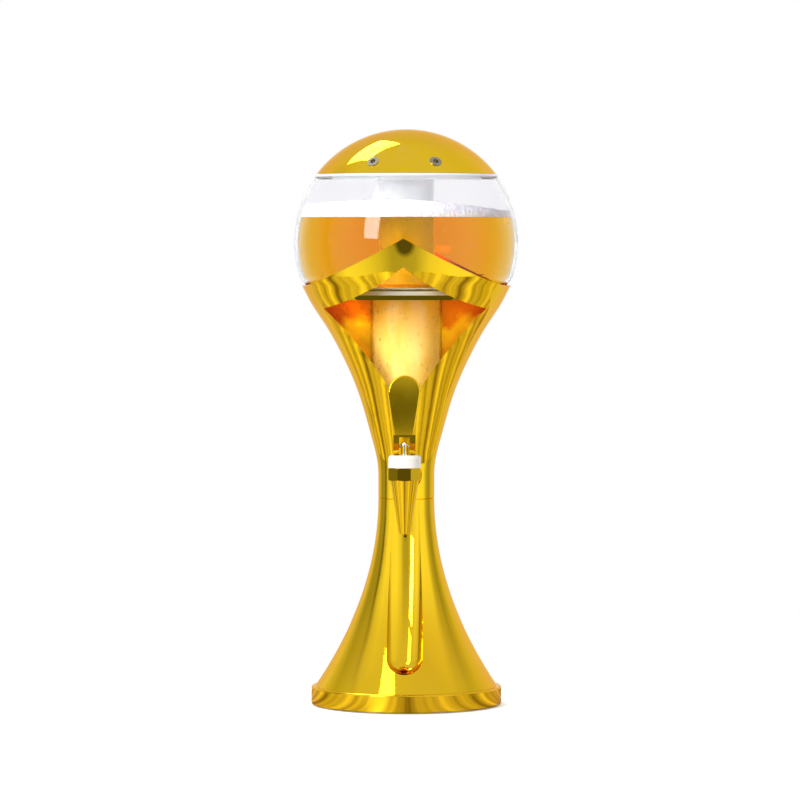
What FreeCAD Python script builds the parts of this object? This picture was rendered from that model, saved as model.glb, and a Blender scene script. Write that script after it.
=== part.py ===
"""Beer tower dispenser: a globe of beer on a plated trumpet stand, with a lever tap at its waist.

Millimetres, Z up, the front is -Y. The origin is on the floor, under the middle of the base.
Each function makes one piece, and NODES names the pieces.
"""
import FreeCAD
import Part
import math
import os

# Base
BASE_R = 84.6
BASE_TOP_Z = 16.9
BASE_LIFT = 1.0
BASE_EDGE_ROUND = 1.5
BASE_EDGE_BEVEL = 0.8
BASE_WALL = 8.6
BASE_LEDGE_WIDTH = 10.0
BASE_LEDGE_THICK = 3.0
BASE_SPIGOT_HEIGHT = 4.1
BASE_SPIGOT_WALL = 3.5
PLATE_THICK = 3.0
PLATE_GAP = 0.3
FOOT_R = 8.0
FOOT_HEIGHT = 7.0
FOOT_CIRCLE_R = 56.0
FOOT_COUNT = 4
FOOT_EDGE_ROUND = 1.0
BASE_SCREW_COUNT = 4
BASE_SCREW_R = 1.5
BASE_SCREW_HEAD_R = 3.0
BASE_SCREW_HEAD_HEIGHT = 2.1
BALLAST_R = 52.0
BALLAST_THICK = 12.0

# Shells
SHELL_WALL = 1.6
FOOT_FLARE_R = 81.0
WAIST_R = 24.9
SEAM_Z = 183.8
SEAM_BEVEL = 0.5
COLLAR_HEIGHT = 20.2
SHELL_LEDGE_Z = 163.0
SHELL_LEDGE_THICK = 3.0
SHELL_LEDGE_HOLE_R = 14.0
# Share of the climb from collar to globe, and share of the swell reached there
FLARE_SHAPE = ((0.197, 0.088), (0.398, 0.232), (0.598, 0.442), (0.759, 0.664), (0.879, 0.853), (0.938, 0.927))

# Flute down the front of the lower shell
FLUTE_R = 20.0
FLUTE_END_Z = 48.0
FLUTE_STAND_OFF_TOP = 13.0
FLUTE_STAND_OFF_MIDDLE = 11.0
FLUTE_STAND_OFF_FOOT = 10.5
FLUTE_OVERRUN_DEG = 8.0

# Gable rim of the upper shell, and the diamond window below it
GABLE_PEAK = 12.0
GABLE_SLOPE_SIDE = 0.545
GABLE_SLOPE_FRONT = 0.09
WINDOW_PEAK = 21.5
WINDOW_SHOULDER = (33.2, 43.5)
WINDOW_CORNER = (71.5, 58.2)
WINDOW_FLANK = (31.1, 103.2)
WINDOW_FOOT = 151.0
WINDOW_LIP = 2.5
WINDOW_LIP_WALL = 1.6

# Globe
GLOBE_R = 99.5
GLOBE_WALL = 3.0
GLOBE_CENTRE_Z = 411.0
GLOBE_RIM_RISE = 57.5
GLOBE_FLOOR_DROP = 43.0
GLOBE_CORNER_R = 20.0
SHELL_GAP = 0.3
SHELL_JOIN_DROP = 30.0
SEAT_THICK = 4.0
SEAT_HOLE_R = 46.0
SEAT_FRONT_Y = 74.0
SEAT_GAP = 0.1
SEAT_PAD_THICK = 3.5
SEAT_PAD_R = 72.0
SEAT_PAD_WIDTH = 14.0

# Column and sump
COLUMN_R = 32.0
COLUMN_WALL = 2.5
COLUMN_FLANGE_R = 41.0
COLUMN_FLANGE_THICK = 2.5
COLUMN_GASKET_THICK = 1.5
LOCKNUT_R = 40.0
LOCKNUT_HEIGHT = 8.0
LOCKNUT_FLATS = 12
FUNNEL_TOP_Z = 270.0
FUNNEL_FOOT_Z = 232.0
SUMP_R = 18.0
SUMP_FOOT_Z = 191.5
SUMP_PAD_THICK = 3.5
FIT_GAP = 0.1

# Waist coupler and tie rod
COUPLER_WALL = 2.5
COUPLER_TOP_RISE = 9.0
COUPLER_WEB_THICK = 4.0
COUPLER_HUB_R = 9.0
COUPLER_HUB_HEIGHT = 12.0
TIE_ROD_R = 4.0
TIE_NUT_FLAT_R = 6.5
TIE_NUT_HEIGHT = 3.6
TIE_WASHER_R = 9.0
TIE_WASHER_THICK = 1.0
TIE_ROD_CUT_BACK = 1.0

# Ice tube
RIM_GASKET_THICK = 0.8
FLANGE_THICK = 1.5
FLANGE_STEP_R = 67.0
FLANGE_STEP_DROP = 3.8
ICE_TUBE_R = 25.0
ICE_TUBE_FOOT_R = 23.0
ICE_TUBE_WALL = 2.0
ICE_TUBE_FOOT_Z = 274.0
ICE_TUBE_FOOT_ROUND = 10.0

# Lid
LID_R = 100.0
LID_WALL = 2.0
LID_GAP = 0.3
SKIRT_WALL = 2.5
SKIRT_GAP = 0.6
SKIRT_FLOOR_GAP = 0.4
VENT_POLAR_DEG = 45.5
VENT_SPREAD_DEG = 22.5
VENT_R = 4.2
VENT_HOLE_R = 2.4
VENT_FLANGE_R = 5.4
VENT_FLANGE_THICK = 0.8
VENT_DEPTH = 4.0

# Tap
TAP_REACH = 58.0
SHANK_Z = 206.0
SHANK_R = 8.0
SHANK_BORE_R = 4.2
SHANK_HOLE_GAP = 0.3
SHANK_END_Y = 3.0
BOSS_R = 14.0
BOSS_FACE_Y = 28.0
TAP_GASKET_THICK = 1.5
TAP_FLANGE_R = 14.5
TAP_FLANGE_THICK = 3.0
TAP_ARM_R = 7.6
SHANK_NUT_R = 12.0
SHANK_NUT_THICK = 5.0
SHANK_SEAL_R = 12.0
COLLAR_FLAT_R = 14.0
COLLAR_SIDES = 8
COLLAR_FOOT_Z = 202.7
COLLAR_TOP_Z = 213.9
COLLAR_BEVEL = 1.0
NOZZLE_ROOT_R = 12.6
NOZZLE_TIP_R = 4.9
NOZZLE_TIP_Z = 156.0
NOZZLE_BORE_R = 3.6
VALVE_BORE_R = 5.6
VALVE_SEAT_Z = 198.0
NECK_R = 9.5
NECK_HEIGHT = 5.5
BONNET_FOOT_R = 14.2
BONNET_TOP_R = 11.5
BONNET_SHOULDER_DROP = 3.5
BONNET_TOP_Z = 224.9
BONNET_ROOF = 2.5
O_RING_THICK = 1.6
O_RING_WIDTH = 3.0
STEM_R = 3.3
STEM_FIT_GAP = 0.1
STEM_COLLAR_R = 5.0
STEM_COLLAR_HEIGHT = 3.3
STEM_TIP_HEIGHT = 1.3
SEAL_R = 5.2
SEAL_THICK = 3.2
SEAL_GAP = 0.1
SPRING_WIRE_R = 0.45
SPRING_R = 4.5
SPRING_END_GAP = 0.15

# Lever handle
PIN_Z = 232.5
PIN_R = 1.5
PIN_FIT_GAP = 0.06
PIN_CUT_BACK = 0.3
STEM_EYE_RISE = 1.3
LEVER_SWING_DEG = 60.0
LEVER_LIFT_PER_RAD = 3.2
LEVER_GAP = 0.3
FORK_HALF_WIDTH = 9.6
FORK_SLOT_HALF = 4.6
FORK_FRONT_Y = 4.5
FORK_BACK_Y = 4.5
FORK_TOE_TOP_RISE = 3.0
PADDLE_FOOT_Z = 241.5
PADDLE_TOP_Z = 294.5
PADDLE_TOP_R = 14.0
PADDLE_FOOT_HALF = 7.8
PADDLE_WAIST_HALF = 10.4
PADDLE_WAIST_Z = 256.0
PADDLE_THICK = 8.0
PADDLE_BULGE = 1.5
PADDLE_BORDER = 3.2
PADDLE_DISH = 1.3
PADDLE_EDGE_ROUND = 1.2
FORK_BRIDGE_THICK = 2.0
CAM_CURVE_STEPS = 4

# How far a cutting shape runs past what it cuts
CUT_PAST = 1.0

# Places that follow from the sizes above
AXIS = FreeCAD.Vector(0, 0, 1)
FORWARD = FreeCAD.Vector(0, -1, 0)
SHELL_R = GLOBE_R + SHELL_GAP + SHELL_WALL
FLARE_FOOT_Z = SEAM_Z + COLLAR_HEIGHT
FLARE_TOP_Z = GLOBE_CENTRE_Z - SHELL_JOIN_DROP
GLOBE_FLOOR_Z = GLOBE_CENTRE_Z - GLOBE_FLOOR_DROP
GLOBE_RIM_Z = GLOBE_CENTRE_Z + GLOBE_RIM_RISE
SEAT_TOP_Z = GLOBE_FLOOR_Z - SEAT_PAD_THICK
PLATE_Z = FOOT_HEIGHT
PLATE_TOP_Z = PLATE_Z + PLATE_THICK
BASE_INNER_R = BASE_R - BASE_WALL
COUPLER_FOOT_Z = SHELL_LEDGE_Z + SHELL_LEDGE_THICK
COUPLER_R = WAIST_R - SHELL_WALL - FIT_GAP
COUPLER_WEB_TOP_Z = SUMP_FOOT_Z - SUMP_PAD_THICK
FLANGE_Z = GLOBE_RIM_Z + RIM_GASKET_THICK
FLANGE_TOP_Z = FLANGE_Z + FLANGE_THICK
FLANGE_DISH_Z = FLANGE_Z - FLANGE_STEP_DROP
LID_FOOT_Z = FLANGE_TOP_Z + LID_GAP
NECK_TOP_Z = COLLAR_TOP_Z + NECK_HEIGHT
BONNET_ROOF_Z = BONNET_TOP_Z - BONNET_ROOF
SEAL_FOOT_Z = VALVE_SEAT_Z + SEAL_GAP
STEM_FOOT_Z = SEAL_FOOT_Z + SEAL_THICK
STEM_COLLAR_TOP_Z = STEM_FOOT_Z + STEM_TIP_HEIGHT + STEM_COLLAR_HEIGHT
LEVER_DROP = PIN_Z - BONNET_TOP_Z - LEVER_GAP
FAR = 300.0


# Drawing helps
def point(r, z):
    """A point of an outline, at radius r and height z."""
    return FreeCAD.Vector(r, 0, z)


def reach(ball_r, rise):
    """The radius of a ball's surface at a height above its centre."""
    return math.sqrt(ball_r ** 2 - rise ** 2)


class Outline:
    """A closed outline in the radius and height plane, drawn edge by edge."""

    def __init__(self, r, z):
        self.start = point(r, z)
        self.here = self.start
        self.edges = []

    def line(self, r, z):
        there = point(r, z)
        self.edges.append(Part.LineSegment(self.here, there).toShape())
        self.here = there
        return self

    def arc(self, middle, end):
        there = point(*end)
        self.edges.append(Part.Arc(self.here, point(*middle), there).toShape())
        self.here = there
        return self

    def ball_arc(self, centre_z, ball_r, end_z):
        """An arc about a centre on the axis, to the height end_z."""
        start_rise = self.here.z - centre_z
        end_rise = end_z - centre_z
        mid_rise = (start_rise + end_rise) / 2
        middle = (reach(ball_r, mid_rise), centre_z + mid_rise)
        return self.arc(middle, (reach(ball_r, end_rise), end_z))

    def curve(self, bspline):
        """A curve that starts where the outline stands."""
        self.edges.append(bspline.toShape())
        self.here = bspline.EndPoint
        return self

    def face(self):
        if self.here.distanceToPoint(self.start) > 1e-6:
            self.edges.append(Part.LineSegment(self.here, self.start).toShape())
        return Part.Face(Part.Wire(self.edges))

    def spin(self):
        return self.face().revolve(FreeCAD.Vector(0, 0, 0), AXIS, 360)


def polygon_outline(points):
    """An outline of straight edges through the points."""
    outline = Outline(*points[0])
    for r, z in points[1:]:
        outline.line(r, z)
    return outline


def disc(radius, z, thick, x=0.0, y=0.0):
    return Part.makeCylinder(radius, thick, FreeCAD.Vector(x, y, z), AXIS)


def ring(inner, outer, z, thick, x=0.0, y=0.0):
    return disc(outer, z, thick, x, y).cut(disc(inner, z, thick, x, y))


def rod_forward(radius, near_y, far_y, z):
    """A round bar that lies front to back, between two distances in front of the axis."""
    return Part.makeCylinder(radius, far_y - near_y, FreeCAD.Vector(0, -near_y, z), FORWARD)


def many_sided(flat_r, sides, z, thick, x=0.0, y=0.0):
    """An upright prism with one flat to the front."""
    corner_r = flat_r / math.cos(math.pi / sides)
    turns = [2 * math.pi * (k + 0.5) / sides for k in range(sides + 1)]
    corners = [FreeCAD.Vector(x + corner_r * math.sin(t), y - corner_r * math.cos(t), z) for t in turns]
    return Part.Face(Part.makePolygon(corners)).extrude(AXIS * thick)


def on_circle(radius, count, turn_deg):
    """Places round a circle, as x and y."""
    angles = [math.radians(turn_deg + 360.0 * k / count) for k in range(count)]
    return [(radius * math.cos(a), radius * math.sin(a)) for a in angles]


def at_tap(shape):
    """Moves a piece that was drawn on the main axis to the tap's axis."""
    shape.translate(FORWARD * TAP_REACH)
    return shape


def front_prism(wire, back_y, front_y):
    """A prism through a front-view outline, between two distances in front of the axis."""
    face = Part.Face(wire)
    face.translate(FORWARD * back_y)
    return face.extrude(FORWARD * (front_y - back_y))


# Shell surfaces
def flare_curve(inset):
    """The upper shell's flare, from the collar to the globe, moved inwards by inset."""
    top_r = reach(SHELL_R, SHELL_JOIN_DROP)
    places = [(0.0, 0.0), *FLARE_SHAPE, (1.0, 1.0)]
    climb = FLARE_TOP_Z - FLARE_FOOT_Z
    points = [point(WAIST_R + swell * (top_r - WAIST_R), FLARE_FOOT_Z + up * climb) for up, swell in places]
    start_way = FreeCAD.Vector(0, 0, 1)
    end_way = FreeCAD.Vector(SHELL_JOIN_DROP, 0, top_r)
    end_way.normalize()
    outer = Part.BSplineCurve()
    outer.interpolate(Points=points, InitialTangent=start_way, FinalTangent=end_way)
    if inset == 0:
        return outer
    moved = []
    for p in points:
        way = outer.tangent(outer.parameter(p))[0]
        moved.append(p + FreeCAD.Vector(-way.z, 0, way.x) * inset)
    inner = Part.BSplineCurve()
    inner.interpolate(Points=moved, InitialTangent=start_way, FinalTangent=end_way)
    return inner


def upper_form(inset):
    """The upper shell as a solid form, from the seam to above the rim, moved inwards by inset."""
    top_z = GLOBE_CENTRE_Z + GABLE_PEAK
    ball_r = SHELL_R - inset
    bevel = SEAM_BEVEL if inset == 0 else 0.0
    flare = flare_curve(inset)
    outline = Outline(0, SEAM_Z).line(WAIST_R - inset - bevel, SEAM_Z)
    if bevel:
        outline.line(WAIST_R, SEAM_Z + bevel)
    outline.line(flare.StartPoint.x, flare.StartPoint.z).curve(flare)
    outline.ball_arc(GLOBE_CENTRE_Z, ball_r, top_z)
    return outline.line(0, top_z).spin()


def lower_curve(inset):
    """The lower shell's parabola, from the seam to the base, moved inwards by inset."""
    middle_z = (SEAM_Z + BASE_TOP_Z) / 2
    steepness = (FOOT_FLARE_R - WAIST_R) / (middle_z - BASE_TOP_Z)
    foot_inset = inset * math.sqrt(1 + steepness ** 2)
    curve = Part.BezierCurve()
    curve.setPoles([point(WAIST_R - inset, SEAM_Z), point(WAIST_R - inset, middle_z),
                    point(FOOT_FLARE_R - foot_inset, BASE_TOP_Z)])
    return curve


def lower_form(inset):
    """The lower shell as a solid form, moved inwards by inset."""
    bevel = SEAM_BEVEL if inset == 0 else 0.0
    curve = lower_curve(inset)
    outline = Outline(0, BASE_TOP_Z).line(curve.EndPoint.x, BASE_TOP_Z)
    curve.reverse()
    outline.curve(curve)
    form = outline.line(0, SEAM_Z).spin()
    if bevel:
        collar = polygon_outline([(WAIST_R - bevel, SEAM_Z), (WAIST_R + bevel, SEAM_Z),
                                  (WAIST_R + bevel, SEAM_Z - 2 * bevel)])
        form = form.cut(collar.spin())
    return form


def press_flute(shape, radius):
    """Presses a round-ended bar of this radius into the shape, along an arc down the front."""
    curve = lower_curve(0.0)
    foot = curve.parameter(surface_point(curve, FLUTE_END_Z))
    places = []
    stand_offs = (FLUTE_STAND_OFF_TOP, FLUTE_STAND_OFF_MIDDLE, FLUTE_STAND_OFF_FOOT)
    for share, stand_off in zip((0.0, 0.5, 1.0), stand_offs):
        surface = curve.value(foot * share)
        way = curve.tangent(foot * share)[0]
        out = surface + FreeCAD.Vector(-way.z, 0, way.x) * stand_off
        places.append(FreeCAD.Vector(0, -out.x, out.z))
    arc = Part.Arc(*places).toShape().Curve
    centre = arc.Center
    spokes = [p - centre for p in places]
    turn = math.degrees(spokes[0].getAngle(spokes[2]))
    across = spokes[0].cross(spokes[2])
    across.normalize()
    section = Part.Face(Part.Wire([Part.Circle(places[2], across.cross(spokes[2]), radius).toShape()]))
    bar = section.revolve(centre, -across, turn + FLUTE_OVERRUN_DEG)
    return shape.cut(bar).cut(Part.makeSphere(radius, places[2], across))


def surface_point(curve, z):
    """The point of an outline curve at the height z."""
    level = Part.LineSegment(point(0, z), point(FAR, z))
    hit = curve.intersect(level)[0]
    return point(hit.X, hit.Z)


# Base
def base_ring():
    ledge_r = BASE_INNER_R - BASE_LEDGE_WIDTH
    ledge_top = PLATE_TOP_Z + BASE_LEDGE_THICK
    spigot_r = FOOT_FLARE_R - SHELL_WALL - BASE_SPIGOT_WALL - BASE_SPIGOT_HEIGHT
    edge = BASE_EDGE_ROUND * (1 - math.sqrt(0.5))
    outline = Outline(BASE_INNER_R, BASE_LIFT).line(BASE_R - BASE_EDGE_BEVEL, BASE_LIFT)
    outline.line(BASE_R, BASE_LIFT + BASE_EDGE_BEVEL).line(BASE_R, BASE_TOP_Z - BASE_EDGE_ROUND)
    outline.arc((BASE_R - edge, BASE_TOP_Z - edge), (BASE_R - BASE_EDGE_ROUND, BASE_TOP_Z))
    outline.line(spigot_r, BASE_TOP_Z).line(spigot_r, ledge_top).line(ledge_r, ledge_top)
    outline.line(ledge_r, PLATE_TOP_Z).line(BASE_INNER_R, PLATE_TOP_Z)
    spigot = lower_form(SHELL_WALL + FIT_GAP).common(disc(FAR, BASE_TOP_Z, BASE_SPIGOT_HEIGHT))
    spigot = spigot.cut(disc(spigot_r, BASE_TOP_Z, BASE_SPIGOT_HEIGHT))
    body = outline.spin().fuse(spigot)
    for x, y in screw_places():
        body = body.cut(disc(BASE_SCREW_R, PLATE_TOP_Z, BASE_LEDGE_THICK, x, y))
    return body.removeSplitter()


def screw_places():
    return on_circle(BASE_INNER_R - BASE_LEDGE_WIDTH / 2, BASE_SCREW_COUNT, 0.0)


def base_plate():
    plate = ring(TIE_ROD_R + FIT_GAP, BASE_INNER_R - PLATE_GAP, PLATE_Z, PLATE_THICK)
    for x, y in screw_places():
        plate = plate.cut(disc(BASE_SCREW_R + FIT_GAP, PLATE_Z, PLATE_THICK, x, y))
    return plate


def base_feet():
    feet = []
    for x, y in on_circle(FOOT_CIRCLE_R, FOOT_COUNT, 180.0 / FOOT_COUNT):
        foot = disc(FOOT_R, 0, FOOT_HEIGHT, x, y)
        low_edges = [e for e in foot.Edges if e.BoundBox.ZMax < FOOT_HEIGHT / 2]
        feet.append(foot.makeFillet(FOOT_EDGE_ROUND, low_edges))
    return Part.makeCompound(feet)


def base_screws():
    screws = []
    for x, y in screw_places():
        head = disc(BASE_SCREW_HEAD_R, PLATE_Z - BASE_SCREW_HEAD_HEIGHT, BASE_SCREW_HEAD_HEIGHT, x, y)
        shank = disc(BASE_SCREW_R, PLATE_Z, PLATE_THICK + BASE_LEDGE_THICK, x, y)
        screws.append(head.fuse(shank).removeSplitter())
    return Part.makeCompound(screws)


def ballast_disc():
    return ring(TIE_ROD_R + FIT_GAP, BALLAST_R, PLATE_TOP_Z, BALLAST_THICK)


def tie_rod():
    foot_z = PLATE_Z - TIE_WASHER_THICK - TIE_NUT_HEIGHT
    return disc(TIE_ROD_R, foot_z, COUPLER_WEB_TOP_Z - TIE_ROD_CUT_BACK - foot_z)


def tie_rod_washer():
    return ring(TIE_ROD_R, TIE_WASHER_R, PLATE_Z - TIE_WASHER_THICK, TIE_WASHER_THICK)


def tie_rod_nut():
    foot_z = PLATE_Z - TIE_WASHER_THICK - TIE_NUT_HEIGHT
    nut = many_sided(TIE_NUT_FLAT_R, 6, foot_z, TIE_NUT_HEIGHT)
    return nut.cut(disc(TIE_ROD_R, foot_z, TIE_NUT_HEIGHT))


# Stand shells
def lower_shell():
    ledge = ring(SHELL_LEDGE_HOLE_R, FAR, SHELL_LEDGE_Z, SHELL_LEDGE_THICK)
    cavity = press_flute(lower_form(SHELL_WALL), FLUTE_R + SHELL_WALL).cut(ledge)
    return press_flute(lower_form(0.0), FLUTE_R).cut(cavity)


def waist_coupler():
    top_z = SEAM_Z + COUPLER_TOP_RISE
    bore_r = COUPLER_R - COUPLER_WALL
    web_z = COUPLER_WEB_TOP_Z - COUPLER_WEB_THICK
    hub_z = COUPLER_WEB_TOP_Z - COUPLER_HUB_HEIGHT
    upper = ring(bore_r, COUPLER_R, SEAM_Z, top_z - SEAM_Z)
    lower = ring(bore_r, COUPLER_R, COUPLER_FOOT_Z, SEAM_Z - COUPLER_FOOT_Z)
    lower = press_flute(lower, FLUTE_R + SHELL_WALL + FIT_GAP)
    web = disc(bore_r, web_z, COUPLER_WEB_THICK)
    hub = disc(COUPLER_HUB_R, hub_z, COUPLER_HUB_HEIGHT)
    return upper.fuse([lower, web, hub]).cut(disc(TIE_ROD_R, hub_z, COUPLER_HUB_HEIGHT)).removeSplitter()


def gable_block():
    """Everything under the rim's four sloping planes: a low pyramid."""
    height = FLARE_TOP_Z - SEAM_Z + SHELL_R
    peak = FreeCAD.Vector(0, 0, GLOBE_CENTRE_Z + GABLE_PEAK)
    side = FreeCAD.Vector(height / GABLE_SLOPE_SIDE, 0, -height)
    front = FreeCAD.Vector(0, height / GABLE_SLOPE_FRONT, -height)
    across = FreeCAD.Vector(-side.x, 0, -height)
    behind = FreeCAD.Vector(0, -front.y, -height)
    foot = [peak + way for way in (side, front, across, behind)]
    faces = [Part.Face(Part.makePolygon([peak, foot[k], foot[(k + 1) % 4], peak])) for k in range(4)]
    faces.append(Part.Face(Part.makePolygon([*foot, foot[0]])))
    return Part.Solid(Part.Shell(faces))


def window_wire():
    """The diamond window's outline in the front view, as four arcs."""
    def place(x, drop):
        return point(x, GLOBE_CENTRE_Z - drop)

    peak = place(0, WINDOW_PEAK)
    foot = place(0, WINDOW_FOOT)
    edges = []
    for side in (1, -1):
        corner = place(side * WINDOW_CORNER[0], WINDOW_CORNER[1])
        shoulder = place(side * WINDOW_SHOULDER[0], WINDOW_SHOULDER[1])
        flank = place(side * WINDOW_FLANK[0], WINDOW_FLANK[1])
        edges.append(Part.Arc(peak, shoulder, corner).toShape())
        edges.append(Part.Arc(corner, flank, foot).toShape())
    return Part.Wire(Part.__sortEdges__(edges))


def upper_shell():
    wire = window_wire()
    wall = upper_form(0.0).cut(upper_form(SHELL_WALL)).common(gable_block())
    lip_form = upper_form(SHELL_WALL / 2).cut(upper_form(SHELL_WALL + WINDOW_LIP))
    lip_zone = front_prism(wire.makeOffset2D(WINDOW_LIP_WALL), 0, FAR)
    below_seat = disc(FAR, SEAM_Z, SEAT_TOP_Z - SEAT_THICK - SEAT_GAP - SEAM_Z)
    lip = lip_form.common(lip_zone).common(below_seat)
    boss = rod_forward(BOSS_R, WAIST_R - SHELL_WALL / 2, BOSS_FACE_Y, SHANK_Z)
    boss = boss.cut(upper_form(SHELL_WALL / 2))
    shell = wall.fuse([lip, boss])
    shell = shell.cut(front_prism(wire, 0, FAR))
    return shell.cut(rod_forward(SHANK_R + SHANK_HOLE_GAP, 0, FAR, SHANK_Z)).removeSplitter()


# Globe and column
def seat_ring():
    foot_z = SEAT_TOP_Z - SEAT_THICK
    cavity = upper_form(SHELL_WALL + SEAT_GAP)
    blank = cavity.common(ring(SEAT_HOLE_R, FAR, foot_z, SEAT_THICK))
    return blank.cut(front_prism(window_wire(), SEAT_FRONT_Y, FAR))


def globe_seat_pad():
    return ring(SEAT_PAD_R - SEAT_PAD_WIDTH, SEAT_PAD_R, SEAT_TOP_Z, SEAT_PAD_THICK)


def globe_form(inset):
    """The globe as a solid ball with a flat floor and rounded corner, moved inwards by inset."""
    ball_r = GLOBE_R - inset
    corner_r = GLOBE_CORNER_R - inset
    floor_z = GLOBE_FLOOR_Z + inset
    corner_rise = GLOBE_CORNER_R - GLOBE_FLOOR_DROP
    corner_x = reach(GLOBE_R - GLOBE_CORNER_R, corner_rise)
    lean = math.atan2(-corner_rise, corner_x)
    join_z = GLOBE_CENTRE_Z - ball_r * math.sin(lean)
    bend = (math.pi / 2 + lean) / 2
    middle = (corner_x + corner_r * math.cos(bend), GLOBE_CENTRE_Z + corner_rise - corner_r * math.sin(bend))
    outline = Outline(0, floor_z).line(corner_x, floor_z)
    outline.arc(middle, (ball_r * math.cos(lean), join_z))
    outline.ball_arc(GLOBE_CENTRE_Z, ball_r, GLOBE_RIM_Z)
    return outline.line(0, GLOBE_RIM_Z).spin()


def globe_vessel():
    hole = disc(COLUMN_R + FIT_GAP, GLOBE_FLOOR_Z, GLOBE_WALL)
    return globe_form(0.0).cut(globe_form(GLOBE_WALL)).cut(hole)


def column_gasket():
    return ring(COLUMN_R + FIT_GAP, COLUMN_FLANGE_R, GLOBE_FLOOR_Z + GLOBE_WALL, COLUMN_GASKET_THICK)


def column_form(inset):
    """The column, funnel and sump as a solid form, moved inwards by inset."""
    lean = math.atan2(COLUMN_R - SUMP_R, FUNNEL_TOP_Z - FUNNEL_FOOT_Z)
    shift = inset * math.tan(lean / 2)
    top_z = GLOBE_FLOOR_Z + GLOBE_WALL + COLUMN_GASKET_THICK + COLUMN_FLANGE_THICK
    return polygon_outline([
        (0, SUMP_FOOT_Z + inset), (SUMP_R - inset, SUMP_FOOT_Z + inset),
        (SUMP_R - inset, FUNNEL_FOOT_Z + shift), (COLUMN_R - inset, FUNNEL_TOP_Z + shift),
        (COLUMN_R - inset, top_z), (0, top_z)]).spin()


def beer_column():
    flange_z = GLOBE_FLOOR_Z + GLOBE_WALL + COLUMN_GASKET_THICK
    flange = disc(COLUMN_FLANGE_R, flange_z, COLUMN_FLANGE_THICK)
    tube = column_form(0.0).fuse(flange).cut(column_form(COLUMN_WALL))
    return tube.cut(rod_forward(SHANK_R + SHANK_HOLE_GAP, 0, FAR, SHANK_Z)).removeSplitter()


def column_locknut():
    foot_z = GLOBE_FLOOR_Z - LOCKNUT_HEIGHT
    nut = many_sided(LOCKNUT_R, LOCKNUT_FLATS, foot_z, LOCKNUT_HEIGHT)
    return nut.cut(disc(COLUMN_R, foot_z, LOCKNUT_HEIGHT))


def sump_pad():
    return disc(SUMP_R - COLUMN_WALL, COUPLER_WEB_TOP_Z, SUMP_PAD_THICK)


# Ice tube and lid
def rim_gasket():
    outer = reach(GLOBE_R, GLOBE_RIM_RISE)
    inner = reach(GLOBE_R - GLOBE_WALL, GLOBE_RIM_RISE)
    return ring(inner, outer, GLOBE_RIM_Z, RIM_GASKET_THICK)


def ice_tube():
    rim_r = reach(GLOBE_R, GLOBE_RIM_RISE)
    dish_top = FLANGE_DISH_Z + FLANGE_THICK
    step_r = FLANGE_STEP_R - FLANGE_THICK
    bore_r = ICE_TUBE_R - ICE_TUBE_WALL
    foot_r = ICE_TUBE_FOOT_R - ICE_TUBE_FOOT_ROUND
    side_z = ICE_TUBE_FOOT_Z + ICE_TUBE_FOOT_ROUND
    floor_z = ICE_TUBE_FOOT_Z + ICE_TUBE_WALL
    bend = ICE_TUBE_FOOT_ROUND * math.sqrt(0.5)
    inner_bend = (ICE_TUBE_FOOT_ROUND - ICE_TUBE_WALL) * math.sqrt(0.5)
    outline = Outline(0, ICE_TUBE_FOOT_Z).line(foot_r, ICE_TUBE_FOOT_Z)
    outline.arc((foot_r + bend, side_z - bend), (ICE_TUBE_FOOT_R, side_z))
    outline.line(ICE_TUBE_R, FLANGE_DISH_Z).line(FLANGE_STEP_R, FLANGE_DISH_Z)
    outline.line(FLANGE_STEP_R, FLANGE_Z).line(rim_r, FLANGE_Z).line(rim_r, FLANGE_TOP_Z)
    outline.line(step_r, FLANGE_TOP_Z).line(step_r, dish_top)
    outline.line(bore_r, dish_top).line(ICE_TUBE_FOOT_R - ICE_TUBE_WALL, side_z)
    outline.arc((foot_r + inner_bend, side_z - inner_bend), (foot_r, floor_z))
    return outline.line(0, floor_z).spin()


def vent_places():
    """The lid's vents, front and rear, as outward directions from the globe's centre."""
    polar = math.radians(VENT_POLAR_DEG)
    ways = []
    for turn in (-90 - VENT_SPREAD_DEG, -90 + VENT_SPREAD_DEG, 90 - VENT_SPREAD_DEG, 90 + VENT_SPREAD_DEG):
        a = math.radians(turn)
        flat = math.sin(polar)
        ways.append(FreeCAD.Vector(flat * math.cos(a), flat * math.sin(a), math.cos(polar)))
    return ways


def vent_bar(way, radius, low, high):
    """A round bar along a vent's direction, between two distances from the globe's centre."""
    centre = FreeCAD.Vector(0, 0, GLOBE_CENTRE_Z)
    return Part.makeCylinder(radius, high - low, centre + way * low, way)


def lid_dome():
    foot_rise = LID_FOOT_Z - GLOBE_CENTRE_Z
    inner_r = LID_R - LID_WALL
    outline = Outline(reach(inner_r, foot_rise), LID_FOOT_Z).line(reach(LID_R, foot_rise), LID_FOOT_Z)
    outline.ball_arc(GLOBE_CENTRE_Z, LID_R, GLOBE_CENTRE_Z + LID_R)
    outline.line(0, GLOBE_CENTRE_Z + inner_r)
    outline.ball_arc(GLOBE_CENTRE_Z, inner_r, LID_FOOT_Z)
    dome = outline.spin()
    for way in vent_places():
        dome = dome.cut(vent_bar(way, VENT_R, LID_R - VENT_DEPTH, LID_R + VENT_DEPTH))
    return dome


def lid_skirt():
    outer = FLANGE_STEP_R - FLANGE_THICK - SKIRT_GAP
    foot_z = FLANGE_DISH_Z + FLANGE_THICK + SKIRT_FLOOR_GAP
    ball = Part.makeSphere(LID_R - LID_WALL, FreeCAD.Vector(0, 0, GLOBE_CENTRE_Z))
    return ring(outer - SKIRT_WALL, outer, foot_z, LID_R).common(ball)


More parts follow.
